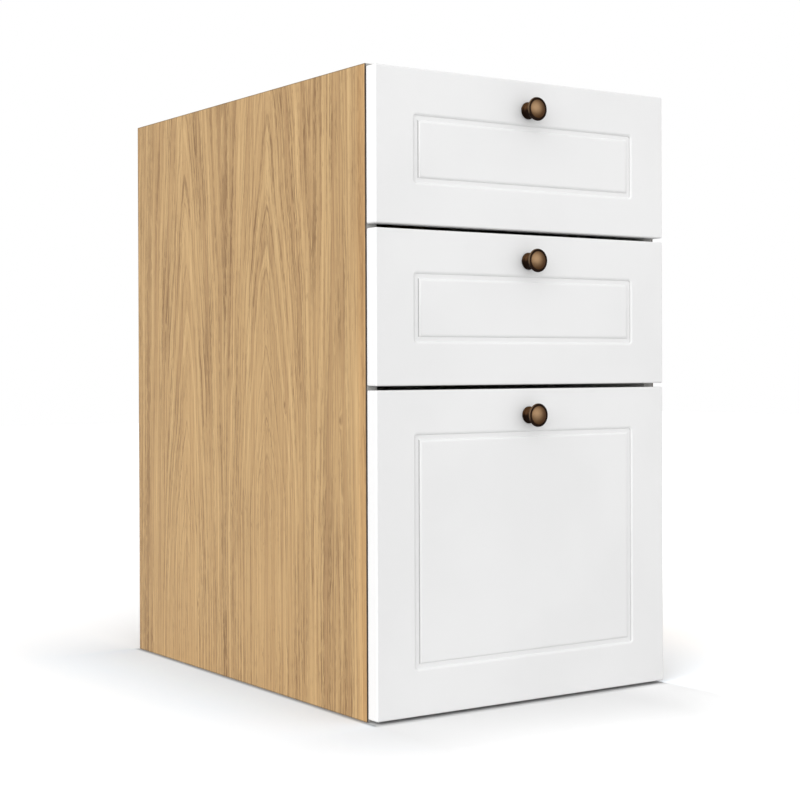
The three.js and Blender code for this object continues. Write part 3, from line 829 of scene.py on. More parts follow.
@dataclass(frozen=True)
class AntiqueBronze(Finish):
    """Plated bronze, lighter on the crown with a painted highlight at its upper left, and dark towards the rim
    and in the neck, partly as painted dark reflection.

    The fades are in shares of the projection, for heights, and of the head's radius.

    Attributes:
        axis_height: The knob axis's height above the floor, in mm.
        face: Where the drawer front's face lies on Y, in mm.
        reach: The radius of the head, in mm.
        projection: How far the knob stands out from the front, in mm.
        highlight_tone: The painted highlight's tone, on the crown's upper left and on the bead's upper left.
        bronze: The tone of the crown and the base's flare.
        patina_and_dark_reflection: The tone elsewhere: dark antiqued bronze, also kept dark as painted dark
            reflection on the rim and neck.
        contact_shade: The painted shade close to the front, where the knob meets it.
        highlight_place: How far right of the axis and above it the painted highlight lies, in head radii.
        crown_height: From where to where the crown grows with height.
        crown_radius: From where to where it grows inwards.
        bead_height: From where to where the painted highlight on the rim's bead grows with height.
        bead_radius: From where to where it grows outwards.
        flare_foot: From where to where the painted light on the flare's top grows with height.
        flare_top: From where to where it grows downwards.
        contact_shade_height: From where to where the painted shade grows towards the front.
    """

    axis_height: float
    face: float
    reach: float
    projection: float
    # the painted highlight's tone
    highlight_tone: Rgb = srgb(172, 140, 106)
    bronze: Rgb = srgb(94, 65, 40)
    # dark antiqued tone, also standing in as painted dark reflection on the rim and neck
    patina_and_dark_reflection: Rgb = srgb(34, 20, 11)
    # painted shade where the knob meets the front
    contact_shade: Rgb = srgb(18, 11, 6)
    highlight_place: tuple[float, float] = (-0.26, 0.12)
    crown_height: Fade = (0.86, 0.92)
    crown_radius: Fade = (0.82, 0.72)
    bead_height: Fade = (0.78, 0.84)
    bead_radius: Fade = (0.93, 0.97)
    flare_foot: Fade = (0.02, 0.12)
    flare_top: Fade = (0.60, 0.40)
    contact_shade_height: Fade = (0.14, 0.04)

    def look(self, surface: Surface) -> Inputs:
        """The shader's inputs."""
        across = surface.x / self.reach
        rise = (surface.z - self.axis_height) / self.reach
        radius = (across * across + rise * rise).root()
        out = (self.face - surface.y) / self.projection
        beside = across - self.highlight_place[0]
        above = rise - self.highlight_place[1]
        from_highlight = (beside * beside + above * above).root()
        blotch = surface.cloud(300.0, detail=3.0, roughness=0.6)
        turned = surface.noise(radius * 60, detail=1.0)
        sides = surface.noise(surface.y / 0.3, detail=1.0)

        crown = out.rise(*self.crown_height) * radius.rise(*self.crown_radius)
        # painted highlight on the crown's upper left, where the light falls
        painted_highlight = crown * (from_highlight + (blotch - 0.5) * 0.12).rise(0.94, 0.05)
        # the bead's painted highlight lies on its upper left, towards the light
        lit_upper_left = (across * 0.8 - rise * 0.6).rise(-0.3, -0.8)
        bead = out.rise(*self.bead_height) * radius.rise(*self.bead_radius) * lit_upper_left
        # painted light on the top of the base's flare, where light falls from above
        upper = (rise + blotch * 0.3).rise(0.05, 0.45)
        flare = out.rise(*self.flare_foot) * out.rise(*self.flare_top) * upper
        colour = surface.layered(
            self.patina_and_dark_reflection,
            (crown, self.bronze),
            (painted_highlight, self.highlight_tone),
            (bead * 0.30, self.highlight_tone),
            (flare * 0.85, self.bronze),
            # painted shade close to the front
            (out.rise(*self.contact_shade_height) * 0.8, self.contact_shade),
        )
        return {
            "Base Color": colour,
            "Metallic": 0.45 + crown * 0.47,
            "Roughness": 0.42 + blotch * 0.10 - crown * 0.08,
            "Normal": surface.bump(turned * crown + sides * (1 - crown), 0.012),
            "Specular IOR Level": 0.08,
        }


@dataclass(frozen=True)
class RolledZinc(Finish):
    """Bright zinc on rolled steel: drawn along the slide, with faint bluish and straw clouds."""

    tone: Rgb = srgb(190, 193, 196)
    blue: Rgb = srgb(172, 180, 190)
    straw: Rgb = srgb(196, 192, 178)
    mark_mm: float = 0.25
    mark_run: float = 45.0

    def look(self, surface: Surface) -> Inputs:
        """The shader's inputs."""
        place = surface.vector(surface.x / self.mark_mm, surface.y / self.mark_run, surface.z / self.mark_mm)
        drawn = surface.noise(place, detail=3.0)
        cloud = surface.cloud(34.0, detail=3.0, roughness=0.6)
        speck = surface.cloud(1500.0, detail=1.0).rise(0.66, 0.74)
        colour = surface.layered(
            self.blue, (cloud.rise(0.4, 0.6), self.tone), (cloud.rise(0.56, 0.72) * 0.6, self.straw))
        return {
            "Base Color": surface.shade(colour, 0.9 + drawn * 0.16 - speck * 0.1),
            "Metallic": 1.0,
            "Roughness": 0.26 + drawn * 0.14 + speck * 0.15,
            "Normal": surface.bump(drawn, 0.01),
        }


@dataclass(frozen=True)
class BallSteel(Finish):
    """Polished bearing steel, filmed here and there with grease."""

    tone: Rgb = srgb(208, 210, 212)
    grease: Rgb = srgb(150, 148, 138)

    def look(self, surface: Surface) -> Inputs:
        """The shader's inputs."""
        film = surface.cloud(700.0)
        return {
            "Base Color": surface.mix(film.rise(0.5, 0.7) * 0.4, self.tone, self.grease),
            "Metallic": 1.0,
            "Roughness": 0.10 + film.rise(0.4, 0.7) * 0.18,
        }


@dataclass(frozen=True)
class TurnedBeech(Finish):
    """Fluted beech with its short dark flecks, for the dowels."""

    tone: Rgb = srgb(212, 180, 138)
    clouds: Rgb = srgb(222, 192, 152)
    fleck: Rgb = srgb(164, 122, 82)

    def look(self, surface: Surface) -> Inputs:
        """The shader's inputs."""
        fibre = surface.noise(
            surface.vector(surface.x / 12, surface.y / 0.5, surface.z / 0.5), detail=3.0, roughness=0.6)
        flecks = surface.noise(
            surface.vector(surface.x / 2.4, surface.y / 0.4, surface.z / 0.4), detail=1.0).rise(0.62, 0.7)
        base = surface.mix(surface.cloud(60.0, detail=1.0), self.tone, self.clouds)
        return {
            "Base Color": surface.mix(flecks * 0.6, surface.shade(base, 0.88 + fibre * 0.24), self.fleck),
            "Roughness": 0.7 - fibre * 0.1,
            "Normal": surface.bump(fibre - flecks * 0.5, 0.05),
        }


class Finishes:
    """Every finish of the cabinet, made once and shared by the pieces that have it."""

    def __init__(self) -> None:
        """Makes the shared materials."""
        self.oak = OakDecor().build("oak_decor")
        self.melamine = WhiteMelamine().build("white_melamine")
        self.edge = WHITE_EDGING.build("white_edge_band")
        self.side_edge = SIDE_EDGING.build("side_edging")
        self.chipboard = Chipboard().build("raw_chipboard")
        self.foil = WhiteFoil().build("white_foil")
        self.back_sheet = Hardboard(BoardFace.FRONT).build("hardboard_back")
        self.drawer_sheet = Hardboard(BoardFace.UPPER).build("hardboard_drawer_bottom")
        self.zinc = RolledZinc().build("rolled_zinc")
        self.ball = BallSteel().build("bearing_steel")
        self.beech = TurnedBeech().build("turned_beech")


# ------------------------------------------------------------------------------ meshes

def link(name: str, mesh: Mesh) -> Object:
    """Puts a mesh into the scene as an object at the origin."""
    piece = bpy.data.objects.new(name, mesh)
    bpy.context.scene.collection.objects.link(piece)
    return piece


@contextmanager
def editing(mesh: Mesh) -> Iterator[bmesh.types.BMesh]:
    """A mesh's points and faces for editing, written back at the end and shaded smooth between seams."""
    grid = bmesh.new()
    grid.from_mesh(mesh)
    yield grid
    grid.to_mesh(mesh)
    grid.free()
    mesh.shade_smooth()
    mesh.set_sharp_from_angle(angle=SEAM_ANGLE)


def tidy_faces(mesh: Mesh) -> None:
    """Merges doubled points and turns every face outwards."""
    with editing(mesh) as grid:
        bmesh.ops.remove_doubles(grid, verts=grid.verts, dist=MERGE_DISTANCE)
        bmesh.ops.recalc_face_normals(grid, faces=grid.faces)


def skin(name: str, loops: Sequence[Sequence[Point]], ends: bool) -> Mesh:
    """A mesh through loops of points.

    Args:
        name: The mesh's name.
        loops: The loops in order, with as many points each. One whose points meet makes a tip.
        ends: True to fill the first and the last loop.

    Returns:
        The mesh, with its faces turned outwards.
    """
    count = len(loops[0])
    faces = [
        (row * count + i, row * count + j, (row + 1) * count + j, (row + 1) * count + i)
        for row in range(len(loops) - 1)
        for i, j in ((i, (i + 1) % count) for i in range(count))
    ]
    if ends:
        last = (len(loops) - 1) * count
        faces = [tuple(reversed(range(count))), *faces, tuple(range(last, last + count))]
    mesh = bpy.data.meshes.new(name)
    mesh.from_pydata([point for loop in loops for point in loop], [], faces)
    tidy_faces(mesh)
    return mesh


def make_plain(piece: Object) -> Mesh:
    """Gives a piece the mesh that its modifiers make of it, and takes the modifiers off."""
    mesh = bpy.data.meshes.new_from_object(piece.evaluated_get(bpy.context.evaluated_depsgraph_get()))
    piece.modifiers.clear()
    piece.data = mesh
    return mesh


def settle_normals(piece: Object) -> None:
    """Lets the large flat faces carry the shading next to their rounded edges."""
    weighted = piece.modifiers.new("weighted_normals", "WEIGHTED_NORMAL")
    weighted.keep_sharp = True
    weighted.weight = FLAT_FACE_WEIGHT


def ride(piece: Object, body: str, replaced: Iterable[str] = ()) -> Object:
    """Fixes a finished piece to a body and hides the CAD nodes that it stands for.

    Args:
        piece: The finished piece, in place.
        body: The body that it moves with.
        replaced: The CAD nodes that it stands for.

    Returns:
        The same piece.
    """
    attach(piece, body)
    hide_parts(*replaced)
    log.info("%s rides on %s: %d faces", piece.name, body, len(piece.data.polygons))
    return piece


FaceRule = Callable[[Vector], int]


@dataclass(frozen=True)
class BoardEdges:
    """How a sawn board's edges are broken: a tiny rounding on every arris.

    Attributes:
        radius: The rounding.
        segments: How many faces it has across.
        flat_angle: Up to where neighbouring faces are taken as one.
        arris_angle: From where an edge is rounded.
    """

    radius: float = 0.45 * MM
    segments: int = 2
    flat_angle: float = math.radians(1)
    arris_angle: float = math.radians(40)

    def copy_of(self, node: str, name: str, materials: Sequence[Material], rule: FaceRule) -> Object:
        """A CAD board with broken edges and a material for each of its faces.

        Args:
            node: The CAD node.
            name: The new piece's name.
            materials: The materials that the rule chooses from.
            rule: Takes a face's normal and returns a material's number.

        Returns:
            The new piece.
        """
        mesh = frame["nodes"][node].data.copy()
        mesh.name = name
        mesh.materials.clear()
        for material in materials:
            mesh.materials.append(material)
        with editing(mesh) as grid:
            bmesh.ops.remove_doubles(grid, verts=grid.verts, dist=MERGE_DISTANCE)
            bmesh.ops.dissolve_limit(grid, angle_limit=self.flat_angle, verts=grid.verts, edges=grid.edges)
            grid.normal_update()
            for face in grid.faces:
                face.material_index = rule(face.normal)
        piece = link(name, mesh)
        bevel = piece.modifiers.new("broken_edges", "BEVEL")
        bevel.width = self.radius
        bevel.segments = self.segments
        bevel.limit_method = "ANGLE"
        bevel.angle_limit = self.arris_angle
        bevel.harden_normals = True
        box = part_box(node)
        for vertex in make_plain(piece).vertices:  # the bevel can reach a hair out of the board's box
            vertex.co = [min(max(value, low), high) for value, low, high in zip(vertex.co, *box)]
        return piece


# ------------------------------------------------------------------------------ geometry node recipes

class Recipe(Graph):
    """A Geometry Nodes tree with named inputs, ending in Realize Instances and Set Material."""

    def __init__(self, name: str) -> None:
        """Starts a tree with a Geometry input and output and a Material input."""
        super().__init__(bpy.data.node_groups.new(name, "GeometryNodeTree"))
        self.identifiers: dict[str, str] = {}
        self.tree.interface.new_socket("Geometry", in_out="OUTPUT", socket_type="NodeSocketGeometry")
        self._declare("Geometry", "NodeSocketGeometry")
        self._declare("Material", "NodeSocketMaterial")
        self.entry = self.node("NodeGroupInput")

    def _declare(self, name: str, kind: str) -> None:
        """Adds one input to the tree's interface."""
        made = self.tree.interface.new_socket(name, in_out="INPUT", socket_type=kind)
        self.identifiers[name] = made.identifier

    def inputs(self, **kinds: str) -> None:
        """Declares inputs by name, each "Float" or "Int" or "Vector"."""
        for name, kind in kinds.items():
            self._declare(name, f"NodeSocket{kind}")

    def value(self, name: str) -> NodeSocket:
        """The socket that carries a named input."""
        return self.entry.outputs[name]

    def number(self, name: str) -> Signal:
        """A named input as a number for arithmetic."""
        return Signal(self, self.value(name))

    def join(self, *parts: NodeSocket) -> NodeSocket:
        """Several geometries as one."""
        made = self.node("GeometryNodeJoinGeometry")
        for part in parts:
            self.tree.links.new(part, made.inputs[0])
        return made.outputs[0]

    def carve(self, solid: NodeSocket, cutter: NodeSocket) -> NodeSocket:
        """A solid less a cutter."""
        settings = {"operation": "DIFFERENCE", "solver": "EXACT"}
        return self.first("GeometryNodeMeshBoolean", settings, {0: solid, 1: cutter})

    def finish(self, geometry: NodeSocket) -> None:
        """Ends the tree."""
        real = self.first("GeometryNodeRealizeInstances", None, {0: geometry})
        painted = self.first("GeometryNodeSetMaterial", None, {0: real, "Material": self.value("Material")})
        self.node("NodeGroupOutput", None, {0: painted})

    def make(self, name: str, base: Mesh, material: Material, values: Settings) -> Object:
        """Runs the tree on a base mesh and keeps the result as a plain mesh.

        Args:
            name: The new piece's name.
            base: What the tree's Geometry input receives.
            material: The piece's material.
            values: A value for each named input.

        Returns:
            The piece, with no modifier left on it.
        """
        carrier = link(name, base)
        modifier = carrier.modifiers.new(name, "NODES")
        modifier.node_group = self.tree
        for key, value in {"Material": material, **values}.items():
            modifier[self.identifiers[key]] = value
        tidy_faces(make_plain(carrier))
        return carrier


def outline_mesh(name: str, outline: Outline) -> Mesh:
    """A closed loop of edges in the XY plane, from points in metres."""
    mesh = bpy.data.meshes.new(name)
    count = len(outline)
    edges = [(index, (index + 1) % count) for index in range(count)]
    mesh.from_pydata([(x, y, 0.0) for x, y in outline], edges, [])
    return mesh


def points_mesh(name: str, points: Sequence[Point]) -> Mesh:
    """Loose points, from places in metres."""
    mesh = bpy.data.meshes.new(name)
    mesh.from_pydata(list(points), [], [])
    return mesh


BEND_STEPS = 4
ROD_SIDES = 20
DRILL_LENGTH = 6 * MM
RECESS_FLOOR = 0.45


def rolled_section_recipe() -> Recipe:
    """A recipe that bends a sheet-metal section's corners, runs it along Z and punches holes in its web."""
    recipe = Recipe("rolled_section")
    recipe.inputs(Length="Float", Bend="Float", HoleRadius="Float", HoleMargin="Float", Holes="Int")
    add, value, number, vector = recipe.first, recipe.value, recipe.number, recipe.vector
    curve = add("GeometryNodeMeshToCurve", None, {0: value("Geometry")})
    bent = add("GeometryNodeFilletCurve", {"mode": "POLY"}, {
        "Curve": curve, "Radius": value("Bend"), "Count": BEND_STEPS, "Limit Radius": True})
    cap = add("GeometryNodeFillCurve", {"mode": "NGONS"}, {0: bent})
    run = add("GeometryNodeExtrudeMesh", {"mode": "FACES"}, {
        "Mesh": cap, "Offset": vector(z=1.0), "Offset Scale": value("Length"), "Individual": False})
    flipped = add("GeometryNodeFlipFaces", None, {0: cap})
    closed = add("GeometryNodeMergeByDistance", None, {
        "Geometry": recipe.join(run, flipped), "Distance": MERGE_DISTANCE})
    pitch = (number("Length") - number("HoleMargin") * 2.0) / (number("Holes") - 1.0)
    drill = add("GeometryNodeMeshCylinder", None, {
        "Vertices": ROD_SIDES, "Radius": value("HoleRadius"), "Depth": DRILL_LENGTH})
    places = add("GeometryNodeMeshLine", None, {
        "Count": value("Holes"), "Start Location": vector(z=value("HoleMargin")), "Offset": vector(z=pitch)})
    drills = add("GeometryNodeInstanceOnPoints", None, {
        "Points": places, "Instance": drill, "Rotation": (0.0, math.pi / 2, 0.0)})
    recipe.finish(recipe.carve(closed, add("GeometryNodeRealizeInstances", None, {0: drills})))
    return recipe


def ball_row_recipe() -> Recipe:
    """A recipe for two rows of balls along Z, mirrored about Y = 0."""
    recipe = Recipe("ball_rows")
    recipe.inputs(Radius="Float", Balls="Int", Pitch="Float", Start="Float", Across="Float", Depth="Float")
    add, value = recipe.first, recipe.value
    ball = add("GeometryNodeMeshIcoSphere", None, {"Radius": value("Radius"), "Subdivisions": 3})
    rows = []
    for side in (-1.0, 1.0):
        start = recipe.vector(value("Depth"), recipe.number("Across") * side, value("Start"))
        line = add("GeometryNodeMeshLine", None, {
            "Count": value("Balls"), "Start Location": start, "Offset": recipe.vector(z=value("Pitch"))})
        rows.append(add("GeometryNodeInstanceOnPoints", None, {"Points": line, "Instance": ball}))
    recipe.finish(recipe.join(*rows))
    return recipe


def screw_recipe() -> Recipe:
    """A recipe for pan-head screws on the base mesh's points, heads towards the turned +Z."""
    recipe = Recipe("pan_head_screws")
    recipe.inputs(HeadRadius="Float", HeadHeight="Float", ShankRadius="Float", ShankLength="Float",
                  Recess="Float", Slot="Float", Turn="Vector", Seed="Int")
    add, value, number, vector = recipe.first, recipe.value, recipe.number, recipe.vector
    radius, height = value("HeadRadius"), value("HeadHeight")
    ball = add("GeometryNodeMeshUVSphere", None, {"Segments": 32, "Rings": 16, "Radius": 1.0})
    dome = add("GeometryNodeTransform", None, {"Geometry": ball, "Scale": vector(radius, radius, height)})
    width = number("HeadRadius") * 4.0
    below = add("GeometryNodeMeshCube", None, {"Size": vector(width, width, width)})
    sunk = add("GeometryNodeTransform", None, {"Geometry": below, "Translation": vector(z=width * -0.5)})
    head = recipe.carve(dome, sunk)
    for turn in (0.0, math.pi / 2):
        blade = add("GeometryNodeMeshCube", None, {
            "Size": vector(number("Recess") * 2.0, value("Slot"), height)})
        middle = number("HeadHeight") * RECESS_FLOOR + number("HeadHeight") * 0.5
        lifted = add("GeometryNodeTransform", None, {
            "Geometry": blade, "Translation": vector(z=middle), "Rotation": (0.0, 0.0, turn)})
        head = recipe.carve(head, lifted)
    shank = add("GeometryNodeMeshCylinder", None, {
        "Vertices": ROD_SIDES, "Radius": value("ShankRadius"), "Depth": value("ShankLength")})
    hung = add("GeometryNodeTransform", None, {
        "Geometry": shank, "Translation": vector(z=number("ShankLength") * -0.5)})
    spin = recipe.node("FunctionNodeRandomValue", {"data_type": "FLOAT"}, {
        2: 0.0, 3: math.pi / 2, "Seed": value("Seed")}).outputs[1]
    around = add("FunctionNodeRotateEuler", {"rotation_type": "AXIS_ANGLE", "space": "LOCAL"}, {
        "Rotation": value("Turn"), "Axis": (0.0, 0.0, 1.0), "Angle": spin})
    recipe.finish(add("GeometryNodeInstanceOnPoints", None, {
        "Points": value("Geometry"), "Instance": recipe.join(head, hung), "Rotation": around}))
    return recipe


# ------------------------------------------------------------------------------ carcass

@dataclass
class Carcass:
    """The oak-faced sides, white inner boards, hardboard back and hidden dowels.

    Attributes:
        finishes: The shared materials.
        edges: How the boards' edges are broken.
        body: The body that all of it rides on.
    """

    finishes: Finishes
    edges: BoardEdges = field(default_factory=BoardEdges)
    body: str = "carcass"

    def build(self) -> None:
        """Dresses every piece of the carcass."""
        for side, outward in (("left", -1.0), ("right", 1.0)):
            self.side_panel(f"{side}_side_panel", outward)
        for node in ("bottom_panel", "front_top_rail", "rear_top_rail"):
            self.inner_board(node)
        self.back_panel()
        for node in frame["record"]["behaviour"]["bodies"][self.body]:
            if "_dowel_" in node:
                dress(node, self.finishes.beech)

    def side_panel(self, node: str, outward: float) -> None:
        """A side: oak outside, white inside, mid-grey edging with painted shade on its front edge, bare
        chipboard on the others.
        """
        looks = self.finishes
        materials = (looks.oak, looks.melamine, looks.side_edge, looks.chipboard)
        oak, inside, front, bare = range(len(materials))

        def rule(normal: Vector) -> int:
            """The material of a face that points this way."""
            if normal.x * outward > SQUARE_ON:
                return oak
            if normal.y < -SQUARE_ON:
                return front
            return inside if normal.x * outward < -SQUARE_ON else bare

        panel = self.edges.copy_of(node, f"{node}_board", materials, rule)
        ride(panel, self.body, (node,))

    def inner_board(self, node: str) -> None:
        """The bottom or a top rail: white faces and front edge, bare chipboard behind."""
        materials = (self.finishes.melamine, self.finishes.edge, self.finishes.chipboard)
        face, front, bare = range(len(materials))

        def rule(normal: Vector) -> int:
            """The material of a face that points this way."""
            if abs(normal.z) > SQUARE_ON:
                return face
            return front if normal.y < -SQUARE_ON else bare

        board = self.edges.copy_of(node, f"{node}_board", materials, rule)
        ride(board, self.body, (node,))

    def back_panel(self) -> None:
        """The thin back, white towards the inside."""
        sheet = self.edges.copy_of("back_panel", "back_panel_sheet", (self.finishes.back_sheet,), lambda _: 0)
        ride(sheet, self.body, ("back_panel",))


def dress(node: str, material: Material) -> None:
    """Gives a CAD node a finish in place of its own."""
    piece = frame["nodes"][node]
    if not piece.material_slots:
        piece.data.materials.append(None)
    for entry in piece.material_slots:
        entry.link = "OBJECT"
        entry.material = material


# ------------------------------------------------------------------------------ drawer fronts

@dataclass(frozen=True)
class Rails:
    """How far a front's groove lies from its upper and its lower edge."""

    upper: float
    lower: float

    @property
    def rise(self) -> float:
        """How far the groove's middle lies above the front's middle."""
        return (self.lower - self.upper) / 2


RAILS = {
    "top": Rails(51.0 * MM, 46.0 * MM),
    "middle": Rails(48.0 * MM, 48.0 * MM),
    "bottom": Rails(49.0 * MM, 52.0 * MM),
}


@dataclass
class RoutedFront:
    """A foil-wrapped front with rounded edges and a routed frame groove.

    Attributes:
        drawer: The drawer's name.
        finishes: The shared materials.
        edge_radius: The rounding of the outer edges.
        stile: From a side edge to the groove.
        groove_width: Across the whole groove.
        groove_depth: Its depth.
        wall_run: How far each rounded wall reaches across the groove.
        corner_steps: How many faces each corner of a loop has.
        rounding_steps: How many faces the edge's rounding and each groove wall have.
    """

    drawer: str
    finishes: Finishes
    edge_radius: float = 2.0 * MM
    stile: float = 52.0 * MM
    groove_width: float = 12.5 * MM
    groove_depth: float = 2.5 * MM
    wall_run: float = 3.7 * MM
    corner_steps: int = 12
    rounding_steps: int = 8

    def __post_init__(self) -> None:
        """Takes the front's place from the frame."""
        self.low, self.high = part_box(f"{self.drawer}_drawer_front")
        self.rails = RAILS[self.drawer]

    def loop(self, reach_x: float, reach_z: float, radius: float, y: float, rise: float = 0.0) -> list[Point]:
        """A rounded rectangle's points at one depth, counter-clockwise seen from the front."""
        middle = (self.low + self.high) / 2
        points = []
        for corner in range(4):
            sign_x = 1 if corner in (0, 3) else -1
            sign_z = 1 if corner < 2 else -1
            for step in range(self.corner_steps + 1):
                angle = (corner + step / self.corner_steps) * math.pi / 2
                points.append((
                    middle.x + sign_x * (reach_x - radius) + radius * math.cos(angle),
                    y,
                    middle.z + rise + sign_z * (reach_z - radius) + radius * math.sin(angle),
                ))
        return points

    def edge_loops(self, reach_x: float, reach_z: float) -> list[list[Point]]:
        """From the back edge round the rounded edge to the face."""
        loops = [self.loop(reach_x, reach_z, self.edge_radius, self.high.y)]
        for step in range(self.rounding_steps + 1):
            angle = step / self.rounding_steps * math.pi / 2
            inset = self.edge_radius * (1 - math.cos(angle))
            y = self.low.y + self.edge_radius * (1 - math.sin(angle))
            loops.append(self.loop(reach_x - inset, reach_z - inset, self.edge_radius - inset, y))
        return loops

    def groove_loops(self, reach_x: float, reach_z: float) -> list[list[Point]]:
        """Down the groove's rounded outer wall, over its floor and up its inner wall."""
        path_x = reach_x - self.stile - self.groove_width / 2
        path_z = reach_z - (self.rails.upper + self.rails.lower + self.groove_width) / 2
        wall_radius = (self.wall_run ** 2 + self.groove_depth ** 2) / (2 * self.groove_depth)
        wall_angle = 2 * math.atan2(self.groove_depth, self.wall_run)
        outer, inner = [], []
        for step in range(self.rounding_steps + 1):
            angle = step / self.rounding_steps * wall_angle
            offset = self.groove_width / 2 - wall_radius * math.sin(angle)
            y = self.low.y + wall_radius * (1 - math.cos(angle))
            outer.append(self.loop(path_x + offset, path_z + offset, offset, y, self.rails.rise))
            inner.insert(0, self.loop(path_x - offset, path_z - offset, 0.0, y, self.rails.rise))
        return outer + inner

    def build(self) -> None:
        """Makes the front, with its foil and its plain back."""
        reach_x = (self.high.x - self.low.x) / 2
        reach_z = (self.high.z - self.low.z) / 2
        loops = self.edge_loops(reach_x, reach_z) + self.groove_loops(reach_x, reach_z)
        mesh = skin(f"{self.drawer}_front", loops, ends=True)
        mesh.materials.append(self.finishes.foil)
        mesh.materials.append(self.finishes.melamine)
        for face in mesh.polygons:
            face.material_index = int(face.normal.y > SQUARE_ON)
        front = link(f"{self.drawer}_front_panel", mesh)
        settle_normals(front)
        ride(front, f"{self.drawer}_drawer", (f"{self.drawer}_drawer_front",))


# ------------------------------------------------------------------------------ knobs

@dataclass
class MushroomKnob:
    """A turned knob: flared base, waisted neck and a head whose domed crown lies inside a fine ring.

    Attributes:
        drawer: The drawer's name.
        base_radius: The radius of the flange that lies on the front.
        base_thickness: The flange's thickness.
        neck: The narrowest radius.
        neck_height: From the front to the narrowest point.
        rim: The thickness of the head's edge.
        face_radius: The radius of the crown and the ring round it.
        ring_width: Across the ring.
        ring_depth: How deep the ring is cut.
        dome_rise: How far the crown stands over the rim.
        sides: How many faces the knob has round its axis.
        arc_steps: How many faces each curve of its section has.
    """

    drawer: str
    base_radius: float = 10.5 * MM
    base_thickness: float = 2.8 * MM
    neck: float = 6.2 * MM
    neck_height: float = 8.0 * MM
    rim: float = 3.0 * MM
    face_radius: float = 11.7 * MM
    ring_width: float = 0.9 * MM
    ring_depth: float = 0.45 * MM
    dome_rise: float = 1.8 * MM
    sides: int = 96
    arc_steps: int = 10

    def __post_init__(self) -> None:
        """Takes the knob's place and outer sizes from the frame."""
        self.low, self.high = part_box(f"{self.drawer}_drawer_knob")
        self.axis = (self.low + self.high) / 2
        self.head_radius = (self.high.z - self.low.z) / 2
        self.projection = self.high.y - self.low.y

    def arc(self, centre: Spot, radius: float, start: float, end: float) -> Outline:
        """Points round a circle in the half section."""
        steps = self.arc_steps
        angles = [start + (end - start) * step / steps for step in range(steps + 1)]
        return [(centre[0] + radius * math.cos(a), centre[1] + radius * math.sin(a)) for a in angles]

    def bend(self, start: Spot, pull: Spot, end: Spot) -> Outline:
        """Points along a quadratic curve, without its first."""
        points = []
        for step in range(1, self.arc_steps + 1):
            t = step / self.arc_steps
            points.append(tuple(
                (1 - t) ** 2 * start[i] + 2 * t * (1 - t) * pull[i] + t * t * end[i] for i in range(2)))
        return points

    def ring(self, radius: float, level: float) -> Outline:
        """The small rounded groove round the crown, walked inwards."""
        steps = self.arc_steps // 2
        half = self.ring_width / 2
        return [
            (radius - half * math.sin(phase), level - self.ring_depth * math.cos(phase))
            for phase in (math.pi * (step / steps - 0.5) for step in range(steps + 1))
        ]

    def half_section(self) -> Outline:
        """The knob's outline from the axis at its foot to the axis at its crown: radius and height."""
        quarter = math.pi / 2
        base_edge = self.base_thickness / 2
        rim_edge = self.rim / 2
        rim_top = self.projection - self.dome_rise
        rim_bottom = rim_top - self.rim
        base_reach = self.base_radius - base_edge
        rim_reach = self.head_radius - rim_edge
        points = [(0.0, 0.0)]
        points += self.arc((base_reach, base_edge), base_edge, -quarter, quarter)
        points += self.bend(points[-1], (self.neck, self.base_thickness), (self.neck, self.neck_height))
        points += self.bend(points[-1], (self.neck, rim_bottom), (rim_reach, rim_bottom))
        points += self.arc((rim_reach, rim_top - rim_edge), rim_edge, -quarter, quarter)
        points += self.ring(self.face_radius - self.ring_width / 2, rim_top)
        points += self.bend(points[-1], (self.face_radius / 2, self.projection), (0.0, self.projection))
        return points

    def build(self) -> None:
        """Turns the knob and plates it."""
        angles = [2 * math.pi * side / self.sides for side in range(self.sides)]
        loops = [
            [(self.axis.x + radius * math.cos(angle), self.high.y - height,
              self.axis.z + radius * math.sin(angle)) for angle in angles]
            for radius, height in self.half_section()
        ]
        mesh = skin(f"{self.drawer}_knob", loops, ends=False)
        bronze = AntiqueBronze(
            self.axis.z / MM, self.high.y / MM, self.head_radius / MM, self.projection / MM)
        mesh.materials.append(bronze.build(f"antique_bronze_{self.drawer}"))
        knob = link(f"{self.drawer}_knob_turned", mesh)
        ride(knob, f"{self.drawer}_drawer", (f"{self.drawer}_drawer_knob",))


# ------------------------------------------------------------------------------ drawer boxes

@dataclass
class DrawerBox:
    """Four walls of white board round a hardboard bottom.

    Attributes:
        drawer: The drawer's name.
        finishes: The shared materials.
        edges: How the boards' edges are broken.
    """

    drawer: str
    finishes: Finishes
    edges: BoardEdges = field(default_factory=BoardEdges)

    def wall_rule(self, along_x: bool) -> FaceRule:
        """Chooses a wall's materials: 0 on its faces, 1 on its upper edge, 2 on its other edges."""
        def rule(normal: Vector) -> int:
            """The material of a face that points this way."""
            across = normal.y if along_x else normal.x
            if abs(across) > SQUARE_ON:
                return 0
            return 1 if normal.z > SQUARE_ON else 2
        return rule

    def build(self) -> None:
        """Dresses the walls and the bottom."""
        body = f"{self.drawer}_drawer"
        materials = (self.finishes.melamine, self.finishes.edge, self.finishes.chipboard)
        for part, along_x in (("left", False), ("right", False), ("inner_front", True), ("back", True)):
            node = f"{self.drawer}_drawer_box_{part}"
            wall = self.edges.copy_of(node, f"{node}_wall", materials, self.wall_rule(along_x))
            ride(wall, body, (node,))
        node = f"{self.drawer}_drawer_box_bottom"
        sheet = self.edges.copy_of(node, f"{node}_sheet", (self.finishes.drawer_sheet,), lambda _: 0)
        ride(sheet, body, (node,))


# ------------------------------------------------------------------------------ kinds of screw

